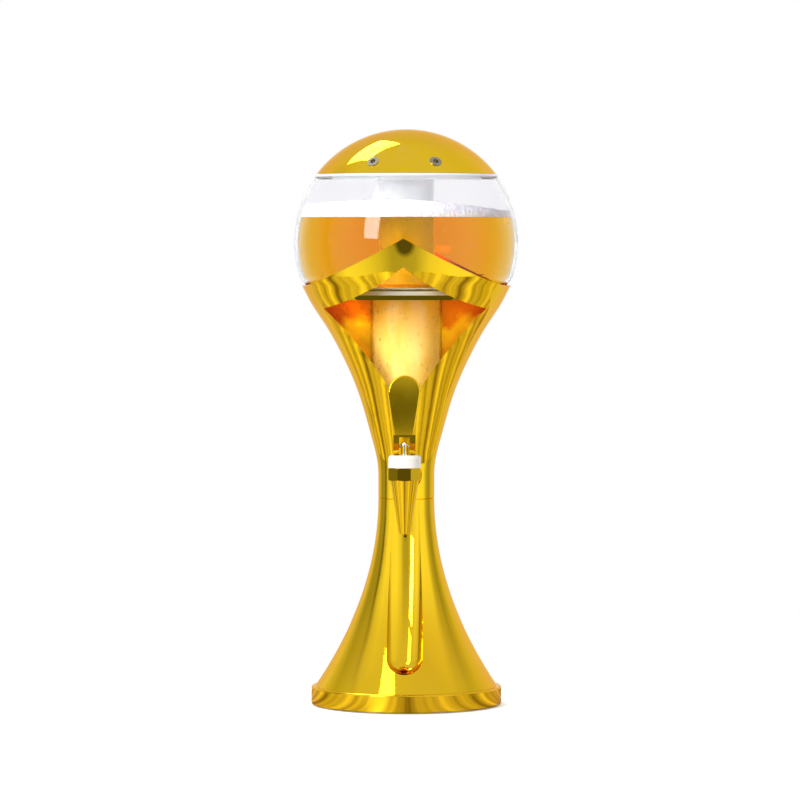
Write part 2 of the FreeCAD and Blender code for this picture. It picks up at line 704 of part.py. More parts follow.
def lid_vents():
    ball = Part.makeSphere(LID_R, FreeCAD.Vector(0, 0, GLOBE_CENTRE_Z))
    vents = []
    for way in vent_places():
        barrel = vent_bar(way, VENT_R, LID_R - VENT_DEPTH, LID_R)
        flange = vent_bar(way, VENT_FLANGE_R, LID_R - VENT_FLANGE_THICK, LID_R + VENT_FLANGE_THICK / 2)
        bore = vent_bar(way, VENT_HOLE_R, LID_R - 2 * VENT_DEPTH, LID_R + VENT_DEPTH)
        vents.append(barrel.fuse(flange.cut(ball)).cut(bore).removeSplitter())
    return Part.makeCompound(vents)


# Tap
def tap_body():
    flange_far = BOSS_FACE_Y + TAP_GASKET_THICK + TAP_FLANGE_THICK
    corner_r = COLLAR_FLAT_R / math.cos(math.pi / COLLAR_SIDES)
    collar = many_sided(COLLAR_FLAT_R, COLLAR_SIDES, COLLAR_FOOT_Z, COLLAR_TOP_Z - COLLAR_FOOT_Z)
    collar = collar.common(polygon_outline([
        (0, COLLAR_FOOT_Z), (corner_r - COLLAR_BEVEL, COLLAR_FOOT_Z), (corner_r, COLLAR_FOOT_Z + COLLAR_BEVEL),
        (corner_r, COLLAR_TOP_Z - COLLAR_BEVEL), (corner_r - COLLAR_BEVEL, COLLAR_TOP_Z),
        (0, COLLAR_TOP_Z)]).spin())
    nozzle = polygon_outline([
        (0, NOZZLE_TIP_Z), (NOZZLE_TIP_R, NOZZLE_TIP_Z), (NOZZLE_ROOT_R, COLLAR_FOOT_Z),
        (NOZZLE_ROOT_R, COLLAR_FOOT_Z + COLLAR_BEVEL), (0, COLLAR_FOOT_Z + COLLAR_BEVEL)]).spin()
    neck = disc(NECK_R, COLLAR_TOP_Z - COLLAR_BEVEL, NECK_HEIGHT + COLLAR_BEVEL)
    upright = at_tap(collar.fuse([nozzle, neck]))
    arm = rod_forward(TAP_ARM_R, flange_far - TAP_FLANGE_THICK / 2, TAP_REACH, SHANK_Z)
    flange = rod_forward(TAP_FLANGE_R, flange_far - TAP_FLANGE_THICK, flange_far, SHANK_Z)
    shank = rod_forward(SHANK_R, SHANK_END_Y, flange_far, SHANK_Z)
    body = upright.fuse([arm, flange, shank])
    body = body.cut(rod_forward(SHANK_BORE_R, 0, TAP_REACH, SHANK_Z))
    body = body.cut(at_tap(disc(VALVE_BORE_R, VALVE_SEAT_Z, NECK_TOP_Z - VALVE_SEAT_Z)))
    body = body.cut(at_tap(disc(NOZZLE_BORE_R, NOZZLE_TIP_Z, VALVE_SEAT_Z - NOZZLE_TIP_Z)))
    return body.removeSplitter()


def tap_gasket():
    far = BOSS_FACE_Y + TAP_GASKET_THICK
    return rod_forward(BOSS_R, BOSS_FACE_Y, far, SHANK_Z).cut(rod_forward(SHANK_R, BOSS_FACE_Y, far, SHANK_Z))


def shank_spacer():
    """Fills the space round the shank between the sump and the shell, with ends that fit both."""
    bar = rod_forward(SHANK_SEAL_R, 0, WAIST_R, SHANK_Z).cut(rod_forward(SHANK_R, 0, WAIST_R, SHANK_Z))
    return bar.common(upper_form(SHELL_WALL + FIT_GAP)).cut(disc(SUMP_R + FIT_GAP, SUMP_FOOT_Z, FAR))


def nut_face():
    """How far in front of the axis the flat face of the shank nut lies, inside the sump."""
    return reach(SUMP_R - COLUMN_WALL, SHANK_NUT_R) - FIT_GAP


def shank_seal():
    bore_r = SUMP_R - COLUMN_WALL - FIT_GAP
    bar = rod_forward(SHANK_SEAL_R, nut_face(), SUMP_R, SHANK_Z)
    bar = bar.cut(rod_forward(SHANK_R, 0, SUMP_R, SHANK_Z))
    return bar.common(disc(bore_r, SUMP_FOOT_Z, FAR))


def shank_nut():
    face = nut_face()
    nut = many_sided(SHANK_NUT_R * math.cos(math.pi / 6), 6, 0, SHANK_NUT_THICK)
    nut = nut.cut(disc(SHANK_R, 0, SHANK_NUT_THICK))
    nut.rotate(FreeCAD.Vector(0, 0, 0), FreeCAD.Vector(1, 0, 0), 90)
    nut.translate(FreeCAD.Vector(0, SHANK_NUT_THICK - face, SHANK_Z))
    return nut


def tap_bonnet():
    shoulder_z = BONNET_TOP_Z - BONNET_SHOULDER_DROP
    width = BONNET_FOOT_R - BONNET_TOP_R
    round_share = math.sqrt(0.5)
    outline = Outline(NECK_R + FIT_GAP, COLLAR_TOP_Z).line(BONNET_FOOT_R, COLLAR_TOP_Z)
    outline.line(BONNET_FOOT_R, shoulder_z)
    outline.arc((BONNET_TOP_R + width * round_share, shoulder_z + BONNET_SHOULDER_DROP * round_share),
                (BONNET_TOP_R, BONNET_TOP_Z))
    outline.line(STEM_R + STEM_FIT_GAP, BONNET_TOP_Z).line(STEM_R + STEM_FIT_GAP, BONNET_ROOF_Z)
    outline.line(VALVE_BORE_R, BONNET_ROOF_Z).line(VALVE_BORE_R, NECK_TOP_Z + O_RING_THICK)
    outline.line(NECK_R + FIT_GAP, NECK_TOP_Z + O_RING_THICK)
    return at_tap(outline.spin())


def bonnet_o_ring():
    return at_tap(ring(NECK_R - O_RING_WIDTH, NECK_R, NECK_TOP_Z, O_RING_THICK))


def tap_stem():
    eye_top = PIN_Z + STEM_EYE_RISE
    rod = disc(STEM_R, STEM_FOOT_Z, eye_top - STEM_FOOT_Z)
    rod = rod.fuse(Part.makeSphere(STEM_R, FreeCAD.Vector(0, 0, eye_top)))
    collar = disc(STEM_COLLAR_R, STEM_FOOT_Z + STEM_TIP_HEIGHT, STEM_COLLAR_HEIGHT)
    stem = at_tap(rod.fuse(collar).removeSplitter())
    return stem.cut(cross_bar(PIN_R, STEM_R + CUT_PAST))


def cross_bar(radius, half_length):
    """A round bar across the tap on the lever's axis."""
    start = FreeCAD.Vector(-half_length, -TAP_REACH, PIN_Z)
    return Part.makeCylinder(radius, 2 * half_length, start, FreeCAD.Vector(1, 0, 0))


def tap_seal():
    return at_tap(disc(SEAL_R, SEAL_FOOT_Z, SEAL_THICK))


def tap_spring():
    """The coil's outer and inner size, as a plain sleeve."""
    low = STEM_COLLAR_TOP_Z + SPRING_END_GAP
    high = BONNET_ROOF_Z - SPRING_END_GAP
    return at_tap(ring(SPRING_R - SPRING_WIRE_R, SPRING_R + SPRING_WIRE_R, low, high - low))


def handle_pin():
    return cross_bar(PIN_R, FORK_HALF_WIDTH - PIN_CUT_BACK)


def paddle_wire():
    """The paddle's outline in the front view: a round top on sides that draw in."""
    top_z = PADDLE_TOP_Z - PADDLE_TOP_R
    foot = [point(side * PADDLE_FOOT_HALF, PADDLE_FOOT_Z) for side in (-1, 1)]
    waist = [point(side * PADDLE_WAIST_HALF, PADDLE_WAIST_Z) for side in (-1, 1)]
    shoulder = [point(side * PADDLE_TOP_R, top_z) for side in (-1, 1)]
    edges = [
        Part.Arc(foot[0], waist[0], shoulder[0]).toShape(),
        Part.Arc(shoulder[0], point(0, PADDLE_TOP_Z), shoulder[1]).toShape(),
        Part.Arc(shoulder[1], waist[1], foot[1]).toShape(),
        Part.LineSegment(foot[1], foot[0]).toShape()]
    return Part.Wire(edges)


def paddle():
    """The lever's blade: bowed front and back, with a dished face in a raised border."""
    wire = paddle_wire()
    half = PADDLE_THICK / 2
    blank = front_prism(wire, TAP_REACH - PADDLE_THICK, TAP_REACH + PADDLE_THICK)
    middle_z = (PADDLE_FOOT_Z + PADDLE_TOP_Z) / 2

    def side(y, z):
        return FreeCAD.Vector(-PADDLE_TOP_R - CUT_PAST, -y, z)

    low_z = PADDLE_FOOT_Z - CUT_PAST
    high_z = PADDLE_TOP_Z + CUT_PAST
    front_foot = side(TAP_REACH + half, low_z)
    front_top = side(TAP_REACH + half, high_z)
    back_foot = side(TAP_REACH - half, low_z)
    back_top = side(TAP_REACH - half, high_z)
    edges = [
        Part.Arc(front_foot, side(TAP_REACH + half + PADDLE_BULGE, middle_z), front_top).toShape(),
        Part.LineSegment(front_top, back_top).toShape(),
        Part.Arc(back_top, side(TAP_REACH - half + PADDLE_BULGE, middle_z), back_foot).toShape(),
        Part.LineSegment(back_foot, front_foot).toShape()]
    bow = Part.Face(Part.Wire(edges)).extrude(FreeCAD.Vector(2 * (PADDLE_TOP_R + CUT_PAST), 0, 0))
    blade = blank.common(bow)
    rims = [edge for edge in blade.Edges
            if edge.BoundBox.YLength < 2 * PADDLE_BULGE and edge.BoundBox.ZMin > PADDLE_FOOT_Z]
    blade = blade.makeFillet(PADDLE_EDGE_ROUND, rims)
    dish_zone = front_prism(wire.makeOffset2D(-PADDLE_BORDER), TAP_REACH, TAP_REACH + PADDLE_THICK)
    keep = bow.copy()
    keep.translate(-FORWARD * PADDLE_DISH)
    return blade.cut(dish_zone.cut(keep))


def cam_foot():
    """One fork post in side view, y and z from the pin: its toe lifts the stem as the lever tilts."""
    swing = math.radians(LEVER_SWING_DEG)
    toe = []
    for step in range(CAM_CURVE_STEPS + 1):
        a = swing * step / CAM_CURVE_STEPS
        drop = LEVER_DROP + LEVER_LIFT_PER_RAD * a
        y = -drop * math.sin(a) - LEVER_LIFT_PER_RAD * math.cos(a)
        z = -drop * math.cos(a) + LEVER_LIFT_PER_RAD * math.sin(a)
        toe.append(FreeCAD.Vector(0, y, z))
    top_z = PADDLE_FOOT_Z + FORK_BRIDGE_THICK / 2 - PIN_Z
    curve = Part.BSplineCurve()
    last_way = FreeCAD.Vector(0, -math.cos(swing), math.sin(swing))
    curve.interpolate(Points=toe, InitialTangent=FreeCAD.Vector(0, -1, 0), FinalTangent=last_way)
    corners = [
        toe[-1], FreeCAD.Vector(0, -FORK_FRONT_Y, FORK_TOE_TOP_RISE),
        FreeCAD.Vector(0, -FORK_FRONT_Y, top_z), FreeCAD.Vector(0, FORK_BACK_Y, top_z),
        FreeCAD.Vector(0, FORK_BACK_Y, -LEVER_DROP), toe[0]]
    edges = [curve.toShape()]
    edges += [Part.LineSegment(a, b).toShape() for a, b in zip(corners, corners[1:])]
    post = Part.Face(Part.Wire(edges)).extrude(FreeCAD.Vector(FORK_HALF_WIDTH - FORK_SLOT_HALF, 0, 0))
    post.translate(FreeCAD.Vector(FORK_SLOT_HALF, -TAP_REACH, PIN_Z))
    return post


def tap_handle():
    post = cam_foot()
    twin = post.mirror(FreeCAD.Vector(0, 0, 0), FreeCAD.Vector(1, 0, 0))
    bridge = Part.makeBox(2 * FORK_HALF_WIDTH, FORK_FRONT_Y + FORK_BACK_Y, FORK_BRIDGE_THICK)
    bridge_z = PADDLE_FOOT_Z - FORK_BRIDGE_THICK / 2
    bridge.translate(FreeCAD.Vector(-FORK_HALF_WIDTH, -TAP_REACH - FORK_FRONT_Y, bridge_z))
    handle = paddle().fuse([post, twin, bridge])
    return handle.cut(cross_bar(PIN_R + PIN_FIT_GAP, FORK_HALF_WIDTH + CUT_PAST)).removeSplitter()


NODES = [
    base_ring, base_plate, base_feet, base_screws, ballast_disc, tie_rod, tie_rod_washer, tie_rod_nut,
    lower_shell, waist_coupler, upper_shell, seat_ring, globe_seat_pad, globe_vessel, column_gasket,
    beer_column, column_locknut, sump_pad, rim_gasket, ice_tube, lid_dome, lid_skirt, lid_vents,
    tap_body, tap_gasket, shank_spacer, shank_seal, shank_nut, tap_bonnet, bonnet_o_ring, tap_stem,
    tap_seal, tap_spring, handle_pin, tap_handle]


def main():
    os.makedirs("parts", exist_ok=True)
    for make in NODES:
        shape = make()
        shape.exportStep("parts/" + make.__name__ + ".step")
        volume = round(shape.Volume / 1000, 2)
        print(make.__name__, len(shape.Solids), "solids", shape.isValid(), volume, "cm3")


main()
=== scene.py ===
"""Beer tower dispenser: gold stand, clear globe of beer with its head of foam, ice tube, lid and lever tap."""

import math
import random

import bmesh
import bpy
from bpy.props import FloatProperty, FloatVectorProperty, IntProperty, PointerProperty
from mathutils import Euler, Matrix, Vector, noise


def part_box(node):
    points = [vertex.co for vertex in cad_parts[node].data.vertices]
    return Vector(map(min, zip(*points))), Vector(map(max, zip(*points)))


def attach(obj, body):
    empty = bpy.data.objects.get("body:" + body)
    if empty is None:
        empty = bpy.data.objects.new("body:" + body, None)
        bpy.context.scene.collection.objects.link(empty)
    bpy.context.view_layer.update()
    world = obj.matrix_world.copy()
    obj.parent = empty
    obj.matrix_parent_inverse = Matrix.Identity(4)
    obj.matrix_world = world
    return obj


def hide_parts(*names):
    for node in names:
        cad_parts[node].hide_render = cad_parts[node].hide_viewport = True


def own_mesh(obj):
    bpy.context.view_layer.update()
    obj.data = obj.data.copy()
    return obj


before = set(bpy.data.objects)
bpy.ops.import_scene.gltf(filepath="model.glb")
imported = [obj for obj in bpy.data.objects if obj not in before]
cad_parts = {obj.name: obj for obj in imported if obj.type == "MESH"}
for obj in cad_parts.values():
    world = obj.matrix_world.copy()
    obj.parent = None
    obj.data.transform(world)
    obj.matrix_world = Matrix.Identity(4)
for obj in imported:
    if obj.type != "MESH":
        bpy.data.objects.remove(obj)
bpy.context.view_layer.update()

bl_info = {
    "name": "Beer Tower Dresser",
    "version": (1, 0, 0),
    "blender": (4, 5, 0),
    "location": "View3D > Sidebar > Beer Tower",
    "description": "Dresses a beer tower dispenser with its gold plate, beer, foam, condensation and studio",
    "category": "Object",
}

# Places read from the frame
GLOBE_LOW, GLOBE_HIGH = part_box("globe_vessel")
COLUMN_LOW, COLUMN_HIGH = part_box("beer_column")
TUBE_LOW, TUBE_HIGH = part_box("ice_tube")
SPRING_LOW, SPRING_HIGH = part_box("tap_spring")

# Globe
GLOBE_R = (GLOBE_HIGH.x - GLOBE_LOW.x) / 2
GLOBE_WALL = 0.003
GLOBE_RIM_RISE = 0.0575
GLOBE_CENTRE_Z = GLOBE_HIGH.z - GLOBE_RIM_RISE
GLOBE_CORNER_R = 0.02
GLOBE_FLOOR_Z = GLOBE_LOW.z
LIQUID_GAP = 0.0002
LIQUID_R = GLOBE_R - GLOBE_WALL - LIQUID_GAP

# Column below the globe
COLUMN_WALL = 0.0025
COLUMN_R = 0.032
FUNNEL_TOP_Z = 0.27
FUNNEL_FOOT_Z = 0.232
SUMP_R = 0.018
FLANGE_R = 0.041

# Ice tube
TUBE_R = 0.025
TUBE_FOOT_R = 0.023
TUBE_FOOT_ROUND = 0.01
TUBE_COLLAR_Z = 0.4655

# Rounding of the spun shapes, and the distance below which their points are joined
SPIN_STEPS = 128
ARC_STEPS = 10
WALL_STEPS = 24
WELD = 1e-7

# Head of foam: how it sags to the sides and to the right, and its ripples
HEAD_PEAK_X = -0.006
HEAD_REACH = 0.095
HEAD_SAG = 0.0052
HEAD_SAG_POWER = 2.2
HEAD_LEAN = 0.0042
SWELL_HEIGHT, SWELL_SCALE = 0.0009, 60.0
FROTH_HEIGHT, FROTH_SCALE, FROTH_SLICE = 0.0004, 230.0, 0.3
HEAD_ROWS = 7

# Bubbles and water beads
BEAD_SEGMENTS, BEAD_RINGS = 8, 6
FOAM_SEED = 11
FOAM_BUBBLE_R = 0.0003
FOAM_BUBBLE_GROWTH = 0.0009
FOAM_BUBBLES_BELOW = 0.45
GAS_DEPTH = 0.055
WATER_SEED = 23
WATER_FLATNESS = 0.5
WATER_STAND_OFF = 0.1

# Tap spring
COIL_WIRE_R = 0.00045
COIL_TURNS = 4
COIL_STEPS = 24
COIL_SIDES = 8

# Heights between which colours change
# Painted glow inside the shell: dark olive low down (painted shade), yellow above (painted light), dark red at the
# top
OLIVE_TO_YELLOW_GLOW = (0.318, 0.345)
YELLOW_TO_RED_GLOW = (0.344, 0.354)
# Painted shade high in the column, below the shell's band
CREAM_TO_SHADED_AMBER = (0.325, 0.372)
WARM_FOAM = (0.4325, 0.4385)

# Studio floor
FLOOR_R = 0.8
FLOOR_SIDES = 96

# Brightness of the room round the tower, by the turn in degrees from the camera's side
ROOM_STRIPES = (
    (-180, 1.0), (-140, 0.95), (-118, 0.42), (-98, 0.40), (-90, 0.14), (-82, 0.75), (-66, 1.15), (-46, 1.0),
    (-26, 0.75), (-12, 0.5), (10, 0.55), (26, 0.95), (50, 1.2), (76, 1.1), (90, 0.55), (106, 0.38),
    (126, 0.8), (150, 1.0), (180, 1.0),
)

# Dark oval in the room behind the camera
OVAL_WIDTH_DEG = 9
OVAL_HEIGHT_DEG = 11
OVAL_DROP = 0.05

# Lights: the way they stand in, their distance, width and height
LIGHTS = {
    "key": ((-0.54, -0.77, 0.33), 4.2, 1.1, 2.2),
    "fill": ((-0.36, -0.52, 0.78), 4.2, 1.0, 2.0),
    "top": ((-0.313, 0.463, 0.829), 4.0, 1.7, 1.2),
}
LIGHT_AIM = (0, 0, 0.3)


# ---------------------------------------------------------------- mesh helpers


def arc_run(centre, radius, first, last, steps):
    """Points of an arc in the radius and height plane, angles in radians."""
    turns = [first + (last - first) * step / steps for step in range(steps + 1)]
    return [(centre[0] + radius * math.cos(a), centre[1] + radius * math.sin(a)) for a in turns]


def ball_reach(radius, z):
    """The radius of a ball about the globe's centre at height z."""
    return math.sqrt(max(radius**2 - (z - GLOBE_CENTRE_Z) ** 2, 0.0))


def tube_reach(z):
    """The ice tube's outer radius at height z, above its rounded foot."""
    side_z = TUBE_LOW.z + TUBE_FOOT_ROUND
    share = (z - side_z) / (TUBE_COLLAR_Z - side_z)
    return TUBE_FOOT_R + (TUBE_R - TUBE_FOOT_R) * share


def spun_mesh(outline, closed):
    """A bmesh turned about the Z axis from an outline of (radius, height) points."""
    made = bmesh.new()
    points = [made.verts.new((r, 0.0, z)) for r, z in outline]
    edges = [made.edges.new(pair) for pair in zip(points, points[1:])]
    if closed:
        edges.append(made.edges.new((points[-1], points[0])))
    bmesh.ops.spin(made, geom=points + edges, axis=(0, 0, 1), cent=(0, 0, 0), angle=math.tau,
                   steps=SPIN_STEPS, use_merge=True)
    bmesh.ops.remove_doubles(made, verts=made.verts, dist=WELD)
    bmesh.ops.dissolve_degenerate(made, dist=WELD, edges=made.edges)
    bmesh.ops.recalc_face_normals(made, faces=made.faces)
    return made


def finished(made, name, finish, smooth_angle=0.6):
    """Turns a bmesh into an object with one finish, smooth but for its sharp edges."""
    mesh = bpy.data.meshes.new(name)
    made.to_mesh(mesh)
    made.free()
    mesh.materials.append(finish)
    mesh.shade_smooth()
    mesh.set_sharp_from_angle(angle=smooth_angle)
    piece = bpy.data.objects.new(name, mesh)
    bpy.context.scene.collection.objects.link(piece)
    return piece


def bead_shape():
    """A round bead of radius 1, the pattern for the many small ones."""
    made = bmesh.new()
    bmesh.ops.create_uvsphere(made, u_segments=BEAD_SEGMENTS, v_segments=BEAD_RINGS, radius=1.0)
    shape = bpy.data.meshes.new("bead_pattern")
    made.to_mesh(shape)
    made.free()
    return shape


def bead(made, shape, turn, out, z, radius, squeeze=1.0):
    """Adds one bead at a turn, distance and height from the Z axis, squeezed towards that axis."""
    place = Vector((out * math.cos(turn), out * math.sin(turn), z))
    put = Matrix.LocRotScale(place, Euler((0, 0, turn)), Vector((squeeze, 1.0, 1.0)) * radius)
    shape.transform(put)
    made.from_mesh(shape)
    shape.transform(put.inverted())


def dress(finish, *names):
    """Gives CAD nodes a finish."""
    for name in names:
        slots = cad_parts[name].data.materials
        slots.clear()
        slots.append(finish)


# ---------------------------------------------------------------- material helpers


class Nodes:
    """A short hand for building one node tree."""

    def __init__(self, tree):
        self.tree = tree

    def add(self, kind, inputs=None, **settings):
        node = self.tree.nodes.new(kind)
        for key, value in settings.items():
            setattr(node, key, value)
        for name, value in (inputs or {}).items():
            self.feed(node.inputs[name], value)
        return node

    def feed(self, socket, value):
        if isinstance(value, bpy.types.NodeSocket):
            self.tree.links.new(value, socket)
        else:
            socket.default_value = value

    def math(self, how, first, second=0.5, third=0.0):
        node = self.add("ShaderNodeMath", operation=how)
        for socket, value in zip(node.inputs, (first, second, third)):
            self.feed(socket, value)
        return node.outputs[0]

    def remap(self, value, low, high, to_low=0.0, to_high=1.0):
        return self.add("ShaderNodeMapRange", {"Value": value, "From Min": low, "From Max": high,
                                               "To Min": to_low, "To Max": to_high}).outputs[0]

    def mix(self, share, first, second):
        node = self.add("ShaderNodeMix", data_type="RGBA")
        for socket, value in ((node.inputs[0], share), (node.inputs[6], first), (node.inputs[7], second)):
            self.feed(socket, value)
        return node.outputs[2]

    def places(self, scale=(1, 1, 1), turn=(0, 0, 0)):
        """The piece's own coordinates, stretched and turned."""
        coordinates = self.add("ShaderNodeTexCoord").outputs["Object"]
        return self.add("ShaderNodeMapping", {"Vector": coordinates, "Scale": scale, "Rotation": turn}).outputs[0]

    def noise(self, vector, scale, detail=3.0, rough=0.55):
        return self.add("ShaderNodeTexNoise", {"Vector": vector, "Scale": scale, "Detail": detail,
                                               "Roughness": rough}).outputs["Fac"]

    def group(self, name, **inputs):
        node = self.add("ShaderNodeGroup", node_tree=bpy.data.node_groups[name])
        for key, value in inputs.items():
            self.feed(node.inputs[key], value)
        return node

    def bump(self, height, distance, strength=1.0, under=None):
        node = self.add("ShaderNodeBump", {"Height": height, "Distance": distance, "Strength": strength})
        if under is not None:
            self.feed(node.inputs["Normal"], under)
        return node.outputs[0]


def new_group(name, inputs, outputs):
    """A node group with named float inputs and outputs, with its two end nodes."""
    tree = bpy.data.node_groups.new(name, "ShaderNodeTree")
    for label, default in inputs.items():
        socket = tree.interface.new_socket(name=label, in_out="INPUT", socket_type="NodeSocketFloat")
        socket.default_value = default
    for label in outputs:
        tree.interface.new_socket(name=label, in_out="OUTPUT", socket_type="NodeSocketFloat")
    nodes = Nodes(tree)
    return nodes, nodes.add("NodeGroupInput").outputs, nodes.add("NodeGroupOutput").inputs


def build_effects():
    """The effects that several finishes share."""
    nodes, given, out = new_group("handling_marks", {"Scale": 40.0, "Amount": 1.0}, ("Mask", "Height"))
    cloud = nodes.noise(nodes.places(), given["Scale"], 5.0, 0.62)
    nodes.feed(out["Mask"], nodes.math("MULTIPLY", nodes.remap(cloud, 0.48, 0.74), given["Amount"]))
    nodes.feed(out["Height"], cloud)

    nodes, given, out = new_group("fine_scratches", {"Scale": 60.0, "Amount": 1.0}, ("Mask",))
    runs = []
    for turn in ((0.4, 0.2, 0.9), (1.3, -0.5, 2.1), (0.1, 0.9, -0.6)):
        hair = nodes.noise(nodes.places((1.0, 1.0, 0.04), turn), given["Scale"], 2.0, 0.5)
        runs.append(nodes.remap(hair, 0.70, 0.74))
    both = nodes.math("MAXIMUM", nodes.math("MAXIMUM", runs[0], runs[1]), runs[2])
    nodes.feed(out["Mask"], nodes.math("MULTIPLY", both, given["Amount"]))

    nodes, given, out = new_group("plated_waves", {"Scale": 14.0, "Peel": 0.1}, ("Height",))
    swell = nodes.noise(nodes.places((1.0, 1.0, 0.55)), given["Scale"], 1.0, 0.4)
    peel = nodes.noise(nodes.places(), 420.0, 1.0, 0.4)
    nodes.feed(out["Height"], nodes.math("MULTIPLY_ADD", peel, given["Peel"], swell))

    nodes, given, out = new_group("moulded_grain", {"Scale": 900.0}, ("Mask", "Height"))
    grain = nodes.noise(nodes.places(), given["Scale"], 3.0, 0.6)
    nodes.feed(out["Mask"], nodes.remap(grain, 0.3, 0.7))
    nodes.feed(out["Height"], grain)

    nodes, given, out = new_group("settled_dust", {"Scale": 70.0, "Amount": 0.5}, ("Mask",))
    lie = nodes.add("ShaderNodeSeparateXYZ", {"Vector": nodes.add("ShaderNodeNewGeometry").outputs["Normal"]})
    top = nodes.remap(lie.outputs["Z"], 0.55, 1.0)
    fleck = nodes.remap(nodes.noise(nodes.places(), given["Scale"], 6.0, 0.7), 0.45, 0.8)
    nodes.feed(out["Mask"], nodes.math("MULTIPLY", nodes.math("MULTIPLY", top, fleck), given["Amount"]))

    nodes, given, out = new_group("bubble_cells", {"Scale": 500.0}, ("Mask", "Height"))
    cell = nodes.add("ShaderNodeTexVoronoi", {"Vector": nodes.places(), "Scale": given["Scale"]})
    cell = cell.outputs["Distance"]
    nodes.feed(out["Mask"], nodes.remap(cell, 0.15, 0.65))
    nodes.feed(out["Height"], nodes.math("SUBTRACT", 1.0, cell))


def new_finish(name, base=None):
    """A material with an empty Principled shader joined to its output."""
    finish = bpy.data.materials.new(name)
    finish.use_nodes = True
    nodes = Nodes(finish.node_tree)
    shader = finish.node_tree.nodes["Principled BSDF"]
    for key, value in (base or {}).items():
        shader.inputs[key].default_value = value
    return finish, nodes, shader


def let_lamps_through(finish, nodes, shader, tint):
    """Lets the lamps' rays pass a clear finish, so that what is behind it is lit."""
    output = finish.node_tree.nodes["Material Output"]
    through = nodes.add("ShaderNodeBsdfTransparent", {"Color": tint})
    path = nodes.add("ShaderNodeLightPath")
    mixed = nodes.add("ShaderNodeMixShader")
    nodes.feed(mixed.inputs[0], path.outputs["Is Shadow Ray"])
    nodes.feed(mixed.inputs[1], shader.outputs[0])
    nodes.feed(mixed.inputs[2], through.outputs[0])
    nodes.feed(output.inputs["Surface"], mixed.outputs[0])


def inner_side(nodes):
    """Where a round shell faces its own axis: 1 inside it and 0 outside."""
    flat = nodes.add("ShaderNodeVectorMath", {"Vector": nodes.places((1, 1, 0))}, operation="NORMALIZE").outputs[0]
    normal = nodes.add("ShaderNodeNewGeometry").outputs["Normal"]
    facing = nodes.add("ShaderNodeVectorMath", operation="DOT_PRODUCT")
    nodes.feed(facing.inputs[0], flat)
    nodes.feed(facing.inputs[1], normal)
    return nodes.remap(facing.outputs["Value"], -0.05, -0.35)


def gold_finish(name, colours, wave_depth, rough, inside=False):
    """Mirror gold plate on moulded plastic, under clear lacquer, satin inside a shell, with a painted glow there.
    """
    finish, nodes, shader = new_finish(name, {
        "Metallic": 1.0, "Specular Tint": (0.85, 0.55, 0.08, 1),
        "Coat Weight": 0.25, "Coat Roughness": 0.02, "Coat IOR": colours.lacquer_ior})
    marks = nodes.group("handling_marks", Scale=34.0, Amount=1.0)
    scratches = nodes.group("fine_scratches", Scale=150.0, Amount=0.6)
    dust = nodes.group("settled_dust", Scale=90.0, Amount=0.25)
    tone = nodes.noise(nodes.places((1, 1, 0.4)), 9.0, 2.0)
    colour = nodes.mix(nodes.remap(tone, 0.3, 0.7), (*colours.gold, 1), (*colours.gold_deep, 1))
    colour = nodes.mix(nodes.math("MULTIPLY", marks.outputs["Mask"], 0.12), colour, (0.72, 0.47, 0.05, 1))
    colour = nodes.mix(dust.outputs["Mask"], colour, (0.72, 0.66, 0.5, 1))
    nodes.feed(shader.inputs["Base Color"], colour)
    dulled = nodes.math("MULTIPLY_ADD", marks.outputs["Mask"], 0.05, rough)
    dulled = nodes.math("MULTIPLY_ADD", scratches.outputs["Mask"], 0.12, dulled)
    dulled = nodes.math("MULTIPLY_ADD", dust.outputs["Mask"], 0.25, dulled)
    if inside:
        inner = inner_side(nodes)
        dulled = nodes.math("MULTIPLY_ADD", inner, 0.22, dulled)
        height = nodes.add("ShaderNodeSeparateXYZ", {"Vector": nodes.places()}).outputs["Z"]
        height = nodes.math("MULTIPLY_ADD", nodes.noise(nodes.places(), 34.0, 3.0), 0.045, height)
        height = nodes.math("SUBTRACT", height, 0.0125)
        # Painted glow on the inner side: dark olive low down as painted shade, bright yellow as painted light,
        # dark red at the top
        warm = nodes.mix(nodes.remap(height, *OLIVE_TO_YELLOW_GLOW), (0.20, 0.13, 0.008, 1), (0.95, 0.60, 0.012, 1))
        warm = nodes.mix(nodes.remap(height, *YELLOW_TO_RED_GLOW), warm, (0.30, 0.05, 0.006, 1))
        nodes.feed(shader.inputs["Emission Color"], nodes.mix(inner, (0, 0, 0, 1), warm))
        shader.inputs["Emission Strength"].default_value = colours.inner_painted_glow
    nodes.feed(shader.inputs["Roughness"], dulled)
    waves = nodes.group("plated_waves", Scale=16.0, Peel=0.006)
    fine = nodes.bump(scratches.outputs["Mask"], 0.00001)
    nodes.feed(shader.inputs["Normal"], nodes.bump(waves.outputs["Height"], wave_depth, 1.0, fine))
    return finish


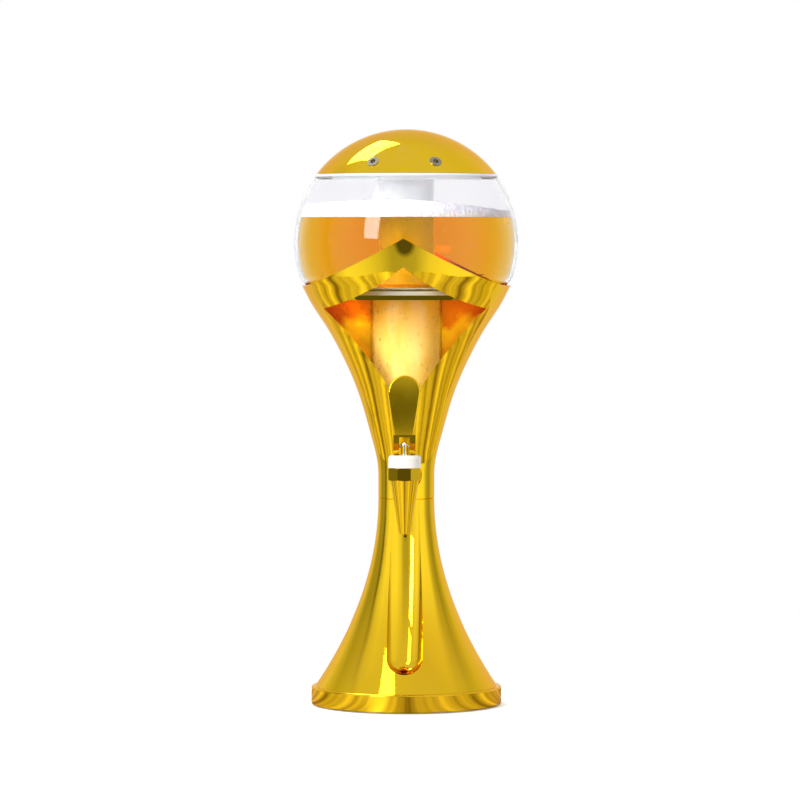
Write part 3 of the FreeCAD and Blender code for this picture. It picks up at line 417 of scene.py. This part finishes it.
def clear_finish(name, tint, fog, ior, beaded=False):
    """Clear moulded plastic with faint smudges, and condensation where it is beaded."""
    finish, nodes, shader = new_finish(name, {
        "Transmission Weight": 1.0, "IOR": ior, "Metallic": 0.0, "Coat Weight": 0.4, "Coat IOR": 1.45})
    marks = nodes.group("handling_marks", Scale=26.0, Amount=1.0)
    scratches = nodes.group("fine_scratches", Scale=120.0, Amount=1.0)
    worn = nodes.math("MULTIPLY", scratches.outputs["Mask"], 0.2)
    nodes.feed(shader.inputs["Base Color"], nodes.mix(worn, tint, (0.82, 0.84, 0.84, 1)))
    dulled = nodes.math("MULTIPLY_ADD", marks.outputs["Mask"], 0.02, fog)
    nodes.feed(shader.inputs["Roughness"], nodes.math("MULTIPLY_ADD", scratches.outputs["Mask"], 0.05, dulled))
    swell = nodes.group("plated_waves", Scale=18.0, Peel=0.002)
    normal = nodes.bump(swell.outputs["Height"], 0.00025)
    if beaded:
        mist = nodes.group("bubble_cells", Scale=620.0)
        normal = nodes.bump(mist.outputs["Height"], 0.00012, 0.7, normal)
    nodes.feed(shader.inputs["Normal"], normal)
    let_lamps_through(finish, nodes, shader, (0.97, 0.97, 0.97, 1))
    return finish


def beer_finish(name, colours):
    """Pale lager that takes its colour from the depth of liquid that light crosses."""
    finish, nodes, shader = new_finish(name, {
        "Transmission Weight": 1.0, "IOR": 1.04, "Metallic": 0.0})
    swirl = nodes.noise(nodes.places((1, 1, 0.6)), 22.0, 2.0)
    pale = nodes.mix(nodes.remap(swirl, 0.35, 0.7), (1.0, 0.985, 0.95, 1), (1.0, 0.95, 0.86, 1))
    nodes.feed(shader.inputs["Base Color"], pale)
    nodes.feed(shader.inputs["Roughness"], nodes.remap(swirl, 0.2, 0.8, 0.0, 0.02))
    nodes.feed(shader.inputs["Normal"], nodes.bump(swirl, 0.0004))
    depth = nodes.add("ShaderNodeVolumeAbsorption")
    depth.inputs["Color"].default_value = (*colours.beer, 1)
    depth.inputs["Density"].default_value = colours.beer_depth
    nodes.feed(finish.node_tree.nodes["Material Output"].inputs["Volume"], depth.outputs[0])
    let_lamps_through(finish, nodes, shader, (1, 1, 1, 1))
    return finish


def column_beer_finish(colours):
    """Beer in the narrow column: clouded with fine gas, creamy low down, darker amber towards the globe as painted
    shade, and a painted glow.
    """
    finish, nodes, shader = new_finish("lager_column", {
        "IOR": 1.34, "Metallic": 0.0, "Subsurface Weight": 0.5, "Subsurface Scale": 0.006,
        "Emission Strength": colours.column_painted_glow})
    cloud = nodes.noise(nodes.places((1, 1, 0.35)), 60.0, 4.0)
    height = nodes.add("ShaderNodeSeparateXYZ", {"Vector": nodes.places()}).outputs["Z"]
    # Painted shade: darker amber towards the globe, where the shell's band shades the column
    band_shade_share = nodes.remap(nodes.math("MULTIPLY_ADD", cloud, 0.02, height), *CREAM_TO_SHADED_AMBER)
    tone = nodes.mix(nodes.remap(cloud, 0.3, 0.7), (0.80, 0.47, 0.045, 1), (0.90, 0.66, 0.19, 1))
    tone = nodes.mix(band_shade_share, tone, (0.76, 0.36, 0.012, 1))
    nodes.feed(shader.inputs["Base Color"], tone)
    # Painted glow: the column gives off its own colour
    nodes.feed(shader.inputs["Emission Color"], tone)
    nodes.feed(shader.inputs["Roughness"], nodes.remap(cloud, 0.2, 0.8, 0.18, 0.4))
    nodes.feed(shader.inputs["Normal"], nodes.bump(cloud, 0.0008, 0.5))
    return finish


def foam_finish(colours):
    """A dense white head with cells and painted shade between them, a little warmer where it meets the beer."""
    finish, nodes, shader = new_finish("beer_foam", {
        "IOR": 1.33, "Subsurface Weight": 0.25, "Subsurface Scale": 0.004})
    cells = nodes.group("bubble_cells", Scale=700.0)
    coarse = nodes.group("bubble_cells", Scale=240.0)
    height = nodes.add("ShaderNodeSeparateXYZ", {"Vector": nodes.places()}).outputs["Z"]
    low = nodes.remap(height, *WARM_FOAM, 1.0, 0.0)
    colour = nodes.mix(nodes.math("MULTIPLY", low, 0.55), (*colours.foam, 1), (0.78, 0.60, 0.34, 1))
    # Painted shade between the coarse bubble cells
    shade = nodes.math("MULTIPLY", coarse.outputs["Mask"], 0.35)
    nodes.feed(shader.inputs["Base Color"], nodes.mix(shade, colour, (0.40, 0.39, 0.46, 1)))
    nodes.feed(shader.inputs["Roughness"], nodes.remap(cells.outputs["Mask"], 0.0, 1.0, 0.35, 0.7))
    under = nodes.bump(coarse.outputs["Height"], 0.0012, 0.6)
    nodes.feed(shader.inputs["Normal"], nodes.bump(cells.outputs["Height"], 0.0005, 0.7, under))
    return finish


def bead_finish(name, tint):
    """Water beads and gas bubbles: clear, with a slightly uneven skin."""
    finish, nodes, shader = new_finish(name, {"Transmission Weight": 1.0, "IOR": 1.33, "Metallic": 0.0})
    skin = nodes.group("handling_marks", Scale=300.0, Amount=1.0)
    nodes.feed(shader.inputs["Base Color"], nodes.mix(skin.outputs["Mask"], tint, (0.93, 0.94, 0.95, 1)))
    nodes.feed(shader.inputs["Roughness"], nodes.math("MULTIPLY", skin.outputs["Mask"], 0.06))
    nodes.feed(shader.inputs["Normal"], nodes.bump(skin.outputs["Height"], 0.0001, 0.4))
    let_lamps_through(finish, nodes, shader, (0.95, 0.95, 0.95, 1))
    return finish


def frosted_finish(colours):
    """The milky ice tube: glossy outside, cloudy within, with a faint painted glow."""
    # The white emission is a painted glow that brightens the tube
    finish, nodes, shader = new_finish("frosted_plastic_wall", {
        "Transmission Weight": 0.3, "IOR": 1.49, "Metallic": 0.0, "Coat Weight": 1.0, "Coat Roughness": 0.05,
        "Subsurface Weight": 0.3, "Subsurface Scale": 0.004,
        "Emission Color": (1, 1, 1, 1), "Emission Strength": 0.12})
    marks = nodes.group("handling_marks", Scale=40.0, Amount=1.0)
    grain = nodes.group("moulded_grain", Scale=1400.0)
    tone = nodes.mix(marks.outputs["Mask"], (*colours.frosted, 1), (0.86, 0.88, 0.90, 1))
    nodes.feed(shader.inputs["Base Color"], tone)
    nodes.feed(shader.inputs["Roughness"], nodes.remap(grain.outputs["Mask"], 0.0, 1.0, 0.28, 0.45))
    nodes.feed(shader.inputs["Normal"], nodes.bump(grain.outputs["Height"], 0.00004, 0.6))
    return finish


def plastic_finish(name, colour, worn_colour, rough, grain_scale=1100.0, depth=0.00006):
    """Opaque moulded plastic, rubber or silicone: fine grain, handling marks and a little dust."""
    finish, nodes, shader = new_finish(name, {"IOR": 1.5, "Metallic": 0.0})
    grain = nodes.group("moulded_grain", Scale=grain_scale)
    marks = nodes.group("handling_marks", Scale=60.0, Amount=0.8)
    scratches = nodes.group("fine_scratches", Scale=180.0, Amount=0.5)
    dust = nodes.group("settled_dust", Scale=120.0, Amount=0.3)
    tone = nodes.mix(marks.outputs["Mask"], (*colour, 1), (*worn_colour, 1))
    tone = nodes.mix(nodes.math("MULTIPLY", grain.outputs["Mask"], 0.1), tone, (*worn_colour, 1))
    tone = nodes.mix(dust.outputs["Mask"], tone, (0.62, 0.60, 0.56, 1))
    nodes.feed(shader.inputs["Base Color"], tone)
    dulled = nodes.math("MULTIPLY_ADD", grain.outputs["Mask"], 0.08, rough)
    dulled = nodes.math("MULTIPLY_ADD", marks.outputs["Mask"], 0.1, dulled)
    nodes.feed(shader.inputs["Roughness"], nodes.math("MULTIPLY_ADD", scratches.outputs["Mask"], 0.15, dulled))
    nodes.feed(shader.inputs["Normal"], nodes.bump(grain.outputs["Height"], depth, 0.8))
    return finish


def metal_finish(name, colour, stain, rough, brush=(1, 1, 1), pit_depth=0.00003):
    """Bare or plated metal with a turned or cast surface."""
    finish, nodes, shader = new_finish(name, {"Metallic": 1.0})
    brushed = nodes.noise(nodes.places(brush), 800.0, 3.0)
    marks = nodes.group("handling_marks", Scale=80.0, Amount=1.0)
    scratches = nodes.group("fine_scratches", Scale=260.0, Amount=0.7)
    tone = nodes.mix(nodes.math("MULTIPLY", marks.outputs["Mask"], 0.6), (*colour, 1), (*stain, 1))
    nodes.feed(shader.inputs["Base Color"], nodes.mix(nodes.math("MULTIPLY", brushed, 0.15), tone, (*stain, 1)))
    dulled = nodes.math("MULTIPLY_ADD", brushed, 0.12, rough)
    dulled = nodes.math("MULTIPLY_ADD", marks.outputs["Mask"], 0.12, dulled)
    nodes.feed(shader.inputs["Roughness"], nodes.math("MULTIPLY_ADD", scratches.outputs["Mask"], 0.15, dulled))
    nodes.feed(shader.inputs["Normal"], nodes.bump(brushed, pit_depth, 0.7))
    return finish


# ---------------------------------------------------------------- what a user may change


class TowerColours(bpy.types.PropertyGroup):
    """Colours and depths of the finishes."""

    gold: FloatVectorProperty(name="Gold", description="Gold plate where it is brightest", subtype="COLOR",
                              size=3, min=0, max=1, default=(0.93, 0.64, 0.012))
    gold_deep: FloatVectorProperty(name="Deep gold", description="Gold plate where it is deeper", subtype="COLOR",
                                   size=3, min=0, max=1, default=(0.84, 0.50, 0.008))
    lacquer_ior: FloatProperty(name="Lacquer IOR", description="Shine of the clear lacquer over the gold",
                               default=1.42, min=1.0, max=2.5)
    # Strength of the painted glow on the shell's inner side
    inner_painted_glow: FloatProperty(name="Inner glow", description="Light that the shell's inner side passes round",
                              default=0.5, min=0.0, max=5.0)
    beer: FloatVectorProperty(name="Beer", description="Colour that the beer lets through", subtype="COLOR",
                              size=3, min=0, max=1, default=(0.985, 0.882, 0.0))
    beer_depth: FloatProperty(name="Beer depth", description="How fast the beer takes its colour, per metre",
                              default=60.0, min=0.0, max=200.0)
    # Strength of the painted glow in the column's beer
    column_painted_glow: FloatProperty(name="Column glow", description="Light that the cloudy beer in the column scatters",
                               default=0.35, min=0.0, max=5.0)
    foam: FloatVectorProperty(name="Foam", description="Colour of the head", subtype="COLOR",
                              size=3, min=0, max=1, default=(0.74, 0.73, 0.77))
    frosted: FloatVectorProperty(name="Ice tube", description="Colour of the frosted ice tube", subtype="COLOR",
                                 size=3, min=0, max=1, default=(0.93, 0.94, 0.95))


class TowerDrink(bpy.types.PropertyGroup):
    """Sizes of the beer, the head and the condensation."""

    beer_level: FloatProperty(name="Beer level", description="Height of the beer's surface above the table",
                              default=0.4325, min=0.38, max=0.45, unit="LENGTH")
    foam_rise: FloatProperty(name="Head", description="Depth of the head at the middle",
                             default=0.0152, min=0.002, max=0.02, unit="LENGTH")
    foam_bubbles: IntProperty(name="Bubbles", description="Large bubbles along the head's edge",
                              default=420, min=0, max=2000)
    gas_bubbles: IntProperty(name="Gas", description="Small bubbles that rise along the globe's wall",
                             default=170, min=0, max=2000)
    beads: IntProperty(name="Condensation", description="Water beads on the column",
                       default=520, min=0, max=3000)
    bead_size: FloatProperty(name="Bead size", description="Radius of the largest water bead",
                             default=0.0011, min=0.0002, max=0.003, unit="LENGTH")


class TowerStudio(bpy.types.PropertyGroup):
    """The camera and the lights."""

    distance: FloatProperty(name="Distance", description="Camera's distance from the tower",
                            default=3.64, min=0.5, max=20.0, unit="LENGTH")
    height: FloatProperty(name="Height", description="Camera's height above the table",
                          default=0.408, min=0.0, max=5.0, unit="LENGTH")
    azimuth: FloatProperty(name="Azimuth", description="Camera's turn about the tower",
                           default=math.radians(1.5), subtype="ANGLE")
    lens: FloatProperty(name="Lens", description="Focal length in millimetres", default=184.5, min=10.0)
    aim: FloatVectorProperty(name="Aim", description="Point that the camera looks at", subtype="TRANSLATION",
                             unit="LENGTH", size=3, default=(-0.0056, 0.0, 0.2708))
    key: FloatProperty(name="Key light", description="Brightness of the tall light at the front left",
                       default=14.0)
    fill: FloatProperty(name="Fill light", description="Brightness of the light above the key light", default=4.0)
    top: FloatProperty(name="Top light", description="Brightness of the light overhead", default=9.0)


# ---------------------------------------------------------------- the pieces


class TOWER_OT_shells(bpy.types.Operator):
    """Plates the stand's two shells and its base ring"""

    bl_idname = "tower.shells"
    bl_label = "Gold shells"

    def execute(self, context):
        gold = gold_finish("gold_plate_shell", context.scene.tower_colours, 0.0014, 0.03, True)
        dress(gold, "lower_shell", "upper_shell")
        dress(gold_finish("gold_plate_ring", context.scene.tower_colours, 0.0004, 0.05), "base_ring", "seat_ring")
        return {"FINISHED"}


class TOWER_OT_lid(bpy.types.Operator):
    """Plates the lid's dome and finishes its skirt and vents"""

    bl_idname = "tower.lid"
    bl_label = "Lid"

    def execute(self, context):
        dress(gold_finish("gold_plate_dome", context.scene.tower_colours, 0.0003, 0.025), "lid_dome")
        # The vents' dark finish is painted shade of their holes
        dress(bpy.data.materials["chrome_vent"], "lid_vents")
        dress(bpy.data.materials["white_plastic_moulded"], "lid_skirt")
        return {"FINISHED"}


class TOWER_OT_globe(bpy.types.Operator):
    """Makes the globe clear"""

    bl_idname = "tower.globe"
    bl_label = "Clear globe"

    def execute(self, context):
        dress(clear_finish("clear_plastic_globe", (0.965, 0.962, 0.978, 1), 0.0, 1.12), "globe_vessel")
        return {"FINISHED"}


class TOWER_OT_beer(bpy.types.Operator):
    """Fills the globe and the column with beer, round the ice tube"""

    bl_idname = "tower.beer"
    bl_label = "Beer"

    def execute(self, context):
        level = context.scene.tower_drink.beer_level
        wall = COLUMN_WALL + LIQUID_GAP
        corner_z = GLOBE_FLOOR_Z + GLOBE_CORNER_R
        corner_r = GLOBE_CORNER_R - GLOBE_WALL - LIQUID_GAP
        corner_x = math.sqrt((GLOBE_R - GLOBE_CORNER_R) ** 2 - (corner_z - GLOBE_CENTRE_Z) ** 2)
        lean = math.atan2(corner_z - GLOBE_CENTRE_Z, corner_x)
        top_lean = math.asin((level - GLOBE_CENTRE_Z) / LIQUID_R)
        foot_z = TUBE_LOW.z - LIQUID_GAP
        foot_r = TUBE_FOOT_R - TUBE_FOOT_ROUND
        round_z = TUBE_LOW.z + TUBE_FOOT_ROUND
        split_z = COLUMN_HIGH.z + LIQUID_GAP
        outline = [
            (tube_reach(split_z) + LIQUID_GAP, split_z), (FLANGE_R + LIQUID_GAP, split_z),
            (FLANGE_R + LIQUID_GAP, corner_z - corner_r),
        ]
        outline += arc_run((corner_x, corner_z), corner_r, -math.pi / 2, lean, ARC_STEPS)
        outline += arc_run((0, GLOBE_CENTRE_Z), LIQUID_R, lean, top_lean, WALL_STEPS)[1:]
        outline.append((tube_reach(level) + LIQUID_GAP, level))
        colours = context.scene.tower_colours
        beer = finished(spun_mesh(outline, True), "beer_fill", beer_finish("lager_beer", colours))
        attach(beer, "stand")

        below_z = split_z - LIQUID_GAP
        outline = [
            (0.0, COLUMN_LOW.z + wall), (SUMP_R - wall, COLUMN_LOW.z + wall),
            (SUMP_R - wall, FUNNEL_FOOT_Z), (COLUMN_R - wall, FUNNEL_TOP_Z), (COLUMN_R - wall, below_z),
            (tube_reach(below_z) + LIQUID_GAP, below_z), (TUBE_FOOT_R + LIQUID_GAP, round_z),
        ]
        outline += arc_run((foot_r, round_z), TUBE_FOOT_ROUND + LIQUID_GAP, 0.0, -math.pi / 2, ARC_STEPS)[1:]
        outline.append((0.0, foot_z))
        below = finished(spun_mesh(outline, False), "beer_in_column", column_beer_finish(colours))
        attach(below, "stand")
        return {"FINISHED"}


def head_height(x, y, drink):
    """Height of the head's top above the table: highest in the middle, lower to the sides."""
    sag = HEAD_SAG * (abs(x - HEAD_PEAK_X) / HEAD_REACH) ** HEAD_SAG_POWER
    sag += HEAD_LEAN * max(x, 0.0) / HEAD_REACH
    swell = SWELL_HEIGHT * noise.noise(Vector((x, y, 0.0)) * SWELL_SCALE)
    froth = FROTH_HEIGHT * noise.noise(Vector((x, y, FROTH_SLICE)) * FROTH_SCALE)
    return drink.beer_level + drink.foam_rise - sag + (swell + froth)


class TOWER_OT_foam(bpy.types.Operator):
    """Lays the head of foam on the beer, with its larger bubbles"""

    bl_idname = "tower.foam"
    bl_label = "Foam"

    def execute(self, context):
        drink = context.scene.tower_drink
        low = drink.beer_level + LIQUID_GAP
        near = tube_reach(drink.beer_level) + 2 * LIQUID_GAP
        reaches = [near + (LIQUID_R - near) * step / WALL_STEPS for step in range(WALL_STEPS + 1)]
        outline = [(near, 0.0)] + [(LIQUID_R, row / HEAD_ROWS) for row in range(HEAD_ROWS + 1)]
        outline += [(r, 1.0) for r in reversed(reaches[:-1])]
        made = spun_mesh(outline, True)
        for vert in made.verts:
            x, y, share = vert.co
            radius = math.hypot(x, y)
            z = low + share * (head_height(x, y, drink) - low)
            if radius > LIQUID_R - LIQUID_GAP:
                grow = (ball_reach(LIQUID_R, z) - LIQUID_GAP) / radius
            elif radius < near + LIQUID_GAP:
                grow = 1.0
            else:
                grow = min(1.0, (ball_reach(LIQUID_R, z) - LIQUID_GAP) / LIQUID_R)
            vert.co = (x * grow, y * grow, z)
        bmesh.ops.recalc_face_normals(made, faces=made.faces)
        foam = finished(made, "foam_head", foam_finish(context.scene.tower_colours))
        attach(foam, "stand")

        rng = random.Random(FOAM_SEED)
        shape = bead_shape()
        made = bmesh.new()
        for _ in range(drink.foam_bubbles):
            turn = rng.uniform(0, math.tau)
            radius = FOAM_BUBBLE_R + FOAM_BUBBLE_GROWTH * rng.random() ** 2.5
            x, y = LIQUID_R * math.cos(turn), LIQUID_R * math.sin(turn)
            top = head_height(x, y, drink)
            z = rng.uniform(low + radius, top + radius * 0.3) if rng.random() < FOAM_BUBBLES_BELOW else top
            bead(made, shape, turn, ball_reach(LIQUID_R, z) - radius - LIQUID_GAP, z, radius)
        bubbles = finished(made, "foam_bubbles", bead_finish("bubble_skin", (0.97, 0.97, 0.99, 1)), math.pi)
        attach(bubbles, "stand")

        made = bmesh.new()
        for _ in range(drink.gas_bubbles):
            turn = rng.uniform(0, math.tau)
            z = drink.beer_level - 0.0008 - GAS_DEPTH * rng.random() ** 1.6
            radius = rng.uniform(0.00025, 0.00065)
            out = ball_reach(LIQUID_R, z) - radius - rng.uniform(0.0004, 0.004)
            bead(made, shape, turn, out, z, radius)
        gas = finished(made, "gas_bubbles", bead_finish("gas_skin", (1.0, 0.97, 0.9, 1)), math.pi)
        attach(gas, "stand")
        return {"FINISHED"}


class TOWER_OT_column(bpy.types.Operator):
    """Finishes the column, with condensation beads outside it"""

    bl_idname = "tower.column"
    bl_label = "Beer column"

    def execute(self, context):
        drink = context.scene.tower_drink
        dress(clear_finish("clear_plastic_column", (0.99, 0.985, 0.96, 1), 0.05, 1.2, True), "beer_column")
        rng = random.Random(WATER_SEED)
        shape = bead_shape()
        made = bmesh.new()
        for _ in range(drink.beads):
            turn = rng.uniform(0, math.tau)
            z = rng.uniform(FUNNEL_TOP_Z + 0.002, GLOBE_FLOOR_Z - 0.012)
            radius = drink.bead_size * (0.22 + 0.78 * rng.random() ** 3)
            bead(made, shape, turn, COLUMN_R + WATER_STAND_OFF * radius, z, radius, WATER_FLATNESS)
        beads = finished(made, "column_condensation", bead_finish("water_bead", (0.98, 0.99, 1.0, 1)), math.pi)
        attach(beads, "stand")
        return {"FINISHED"}


class TOWER_OT_ice_tube(bpy.types.Operator):
    """Frosts the ice tube and its flange"""

    bl_idname = "tower.ice_tube"
    bl_label = "Ice tube"

    def execute(self, context):
        dress(frosted_finish(context.scene.tower_colours), "ice_tube")
        return {"FINISHED"}


class TOWER_OT_tap(bpy.types.Operator):
    """Finishes the tap, its lever and its coil spring"""

    bl_idname = "tower.tap"
    bl_label = "Tap"

    def execute(self, context):
        colours = context.scene.tower_colours
        dress(gold_finish("gold_plate_tap", colours, 0.0002, 0.06), "tap_body")
        dress(gold_finish("gold_plate_lever", colours, 0.0016, 0.17), "tap_handle")
        dress(bpy.data.materials["white_plastic_moulded"], "tap_bonnet")
        dress(bpy.data.materials["chrome_plate"], "tap_stem")
        dress(bpy.data.materials["steel_zinc"], "handle_pin", "shank_nut")
        dress(bpy.data.materials["silicone_milky"], "tap_seal", "shank_seal")
        dress(bpy.data.materials["rubber_black"], "tap_gasket", "shank_spacer", "bonnet_o_ring")

        middle = (SPRING_LOW + SPRING_HIGH) / 2
        coil_r = (SPRING_HIGH.x - SPRING_LOW.x) / 2 - COIL_WIRE_R
        height = SPRING_HIGH.z - SPRING_LOW.z - 2 * COIL_WIRE_R
        steps = COIL_TURNS * COIL_STEPS
        made = bmesh.new()
        stand = Matrix.Translation((coil_r, 0, 0)) @ Matrix.Rotation(math.pi / 2, 4, "X")
        wire = bmesh.ops.create_circle(made, cap_ends=True, segments=COIL_SIDES, radius=COIL_WIRE_R, matrix=stand)
        bmesh.ops.spin(made, geom=wire["verts"] + list(made.edges) + list(made.faces), axis=(0, 0, 1),
                       cent=(0, 0, 0), dvec=(0, 0, height / steps), angle=math.tau * COIL_TURNS, steps=steps)
        bmesh.ops.remove_doubles(made, verts=made.verts, dist=WELD)
        bmesh.ops.translate(made, verts=made.verts, vec=(middle.x, middle.y, SPRING_LOW.z + COIL_WIRE_R))
        bmesh.ops.recalc_face_normals(made, faces=made.faces)
        coil = finished(made, "tap_coil", bpy.data.materials["steel_zinc"], 1.2)
        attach(coil, "stand")
        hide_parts("tap_spring")
        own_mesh(coil)
        return {"FINISHED"}


class TOWER_OT_fittings(bpy.types.Operator):
    """Finishes the ballast, tie rod, coupler, seat, gaskets, feet and screws"""

    bl_idname = "tower.fittings"
    bl_label = "Fittings"

    def execute(self, context):
        plastic_finish("white_plastic_moulded", (0.90, 0.89, 0.87), (0.78, 0.76, 0.72), 0.22)
        plastic_finish("black_plastic_moulded", (0.022, 0.021, 0.020), (0.07, 0.068, 0.065), 0.38)
        plastic_finish("rubber_black", (0.016, 0.016, 0.016), (0.05, 0.05, 0.05), 0.7, 700.0, 0.0001)
        plastic_finish("silicone_milky", (0.72, 0.71, 0.68), (0.60, 0.58, 0.54), 0.42, 800.0)
        metal_finish("steel_zinc", (0.62, 0.63, 0.64), (0.38, 0.37, 0.36), 0.22, (1, 1, 12))
        metal_finish("chrome_plate", (0.86, 0.87, 0.88), (0.55, 0.56, 0.58), 0.05, (1, 1, 8))
        # chrome_vent: its dark colour is painted shade standing for the vent holes' dark insides
        metal_finish("chrome_vent", (0.36, 0.33, 0.25), (0.16, 0.13, 0.08), 0.14)
        metal_finish("iron_cast", (0.20, 0.19, 0.18), (0.12, 0.07, 0.04), 0.55, (1, 1, 1), 0.0003)
        pick = bpy.data.materials
        dress(pick["iron_cast"], "ballast_disc")
        dress(pick["steel_zinc"], "tie_rod", "tie_rod_washer", "tie_rod_nut", "base_screws")
        dress(pick["black_plastic_moulded"], "waist_coupler", "base_plate")
        dress(pick["white_plastic_moulded"], "column_locknut")
        dress(pick["rubber_black"], "base_feet", "sump_pad")
        dress(pick["silicone_milky"], "column_gasket", "rim_gasket", "globe_seat_pad")
        return {"FINISHED"}


# ---------------------------------------------------------------- the studio


def soft_light(name, way, distance, width, height, radiance):
    """A large area light at a direction from the tower's middle, turned to face it."""
    lamp = bpy.data.lights.new(name, "AREA")
    lamp.shape = "RECTANGLE"
    lamp.size, lamp.size_y = width, height
    lamp.energy = radiance * math.pi * width * height
    light = bpy.data.objects.new(name, lamp)
    way = Vector(way).normalized()
    light.location = Vector(LIGHT_AIM) + way * distance
    light.rotation_euler = way.to_track_quat("Z", "Y").to_euler()
    bpy.context.scene.collection.objects.link(light)


def studio_room(world):
    """A pale room: plain white to the camera, with soft grey stripes that the gold picks up."""
    world.use_nodes = True
    nodes = Nodes(world.node_tree)
    back = world.node_tree.nodes["Background"]
    way = nodes.add("ShaderNodeTexCoord").outputs["Generated"]
    parts = nodes.add("ShaderNodeSeparateXYZ", {"Vector": way}).outputs
    turn = nodes.math("ARCTAN2", parts["X"], nodes.math("MULTIPLY", parts["Y"], -1.0))
    ramp = nodes.add("ShaderNodeValToRGB", {"Fac": nodes.remap(turn, -math.pi, math.pi)})
    stops = ramp.color_ramp.elements
    for spot, (angle, shade) in enumerate(ROOM_STRIPES):
        place = (angle + 180) / 360
        stop = stops[0] if spot == 0 else stops[-1] if spot == len(ROOM_STRIPES) - 1 else stops.new(place)
        stop.position = place
        stop.color = (shade, shade, shade, 1)
    upward = nodes.math("ARCSINE", parts["Z"])
    high = nodes.remap(upward, math.radians(18), math.radians(50))
    shade = nodes.mix(high, ramp.outputs["Color"], (0.80, 0.80, 0.80, 1))
    across = nodes.math("DIVIDE", parts["X"], math.sin(math.radians(OVAL_WIDTH_DEG)))
    along = nodes.math("DIVIDE", nodes.math("ADD", parts["Z"], OVAL_DROP), math.sin(math.radians(OVAL_HEIGHT_DEG)))
    far = nodes.math("SQRT", nodes.math("ADD", nodes.math("POWER", across, 2.0), nodes.math("POWER", along, 2.0)))
    behind = nodes.remap(parts["Y"], 0.0, 0.2)
    dim = nodes.math("MAXIMUM", nodes.remap(far, 0.7, 1.2, 0.2, 1.0), behind)
    shade = nodes.mix(dim, (0.0, 0.0, 0.0, 1), shade)
    seen = nodes.add("ShaderNodeLightPath").outputs["Is Camera Ray"]
    nodes.feed(back.inputs["Color"], nodes.mix(seen, shade, (1, 1, 1, 1)))
    nodes.feed(back.inputs["Strength"], 1.0)


class TOWER_OT_stage(bpy.types.Operator):
    """Sets the floor, pale to the camera and streaked with painted reflections for all else, the soft studio
    lights and the camera
    """

    bl_idname = "tower.stage"
    bl_label = "Studio"

    def execute(self, context):
        studio = context.scene.tower_studio
        made = bmesh.new()
        bmesh.ops.create_circle(made, cap_ends=True, segments=FLOOR_SIDES, radius=FLOOR_R)
        finish, nodes, shader = new_finish("pale_floor", {
            "Roughness": 0.6, "Specular IOR Level": 0.3, "Emission Strength": 0.25})
        cloud = nodes.noise(nodes.places(), 1.5, 2.0)
        seen = nodes.add("ShaderNodeLightPath").outputs["Is Camera Ray"]
        spot = nodes.add("ShaderNodeSeparateXYZ", {"Vector": nodes.places()}).outputs
        turn = nodes.math("ARCTAN2", spot["X"], spot["Y"])
        rays = nodes.add("ShaderNodeCombineXYZ", {"X": turn}).outputs[0]
        # Painted reflection: away from the camera the floor turns dark and warm in streaks that the gold mirrors
        painted_reflection_streak = nodes.remap(nodes.noise(rays, 3.4, 2.0), 0.36, 0.64)
        shade = nodes.mix(painted_reflection_streak, (0.17, 0.12, 0.06, 1), (0.92, 0.84, 0.62, 1))
        pale = nodes.mix(cloud, (0.90, 0.90, 0.90, 1), (0.93, 0.93, 0.92, 1))
        nodes.feed(shader.inputs["Base Color"], nodes.mix(seen, shade, pale))
        nodes.feed(shader.inputs["Emission Color"], nodes.mix(seen, (0, 0, 0, 1), (1, 1, 1, 1)))
        floor = finished(made, "floor", finish)

        studio_room(bpy.data.worlds.new("studio_room"))
        context.scene.world = bpy.data.worlds["studio_room"]
        for name, place in LIGHTS.items():
            soft_light(f"{name}_light", *place, getattr(studio, name))
        context.scene.view_settings.view_transform = "Standard"

        camera = bpy.data.objects.new("camera", bpy.data.cameras.new("camera"))
        camera.data.lens = studio.lens
        camera.data.sensor_width = 36.0
        place = Vector((studio.distance * math.sin(studio.azimuth),
                        -studio.distance * math.cos(studio.azimuth), studio.height))
        camera.location = place
        camera.rotation_euler = (place - Vector(studio.aim)).to_track_quat("Z", "Y").to_euler()
        context.scene.collection.objects.link(camera)
        context.scene.camera = camera
        return {"FINISHED"}


class TOWER_PT_panel(bpy.types.Panel):
    """Lists the steps that dress the tower"""

    bl_idname = "TOWER_PT_panel"
    bl_label = "Beer Tower"
    bl_space_type = "VIEW_3D"
    bl_region_type = "UI"
    bl_category = "Beer Tower"

    def draw(self, context):
        scene = context.scene
        for group in (scene.tower_colours, scene.tower_drink, scene.tower_studio):
            box = self.layout.box()
            for name in group.bl_rna.properties.keys():
                if name not in ("rna_type", "name"):
                    box.prop(group, name)
        for step in STEPS:
            self.layout.operator(step.bl_idname)


STEPS = (TOWER_OT_fittings, TOWER_OT_shells, TOWER_OT_lid, TOWER_OT_globe, TOWER_OT_beer, TOWER_OT_foam,
         TOWER_OT_column, TOWER_OT_ice_tube, TOWER_OT_tap, TOWER_OT_stage)
GROUPS = {"tower_colours": TowerColours, "tower_drink": TowerDrink, "tower_studio": TowerStudio}


def register():
    for kind in (*GROUPS.values(), *STEPS, TOWER_PT_panel):
        bpy.utils.register_class(kind)
    for name, kind in GROUPS.items():
        setattr(bpy.types.Scene, name, PointerProperty(type=kind))


def unregister():
    for name in GROUPS:
        delattr(bpy.types.Scene, name)
    for kind in reversed((*GROUPS.values(), *STEPS, TOWER_PT_panel)):
        bpy.utils.unregister_class(kind)


def main():
    register()
    build_effects()
    for step in STEPS:
        group, name = step.bl_idname.split(".")
        getattr(getattr(bpy.ops, group), name)()


if __name__ == "__main__":
    main()
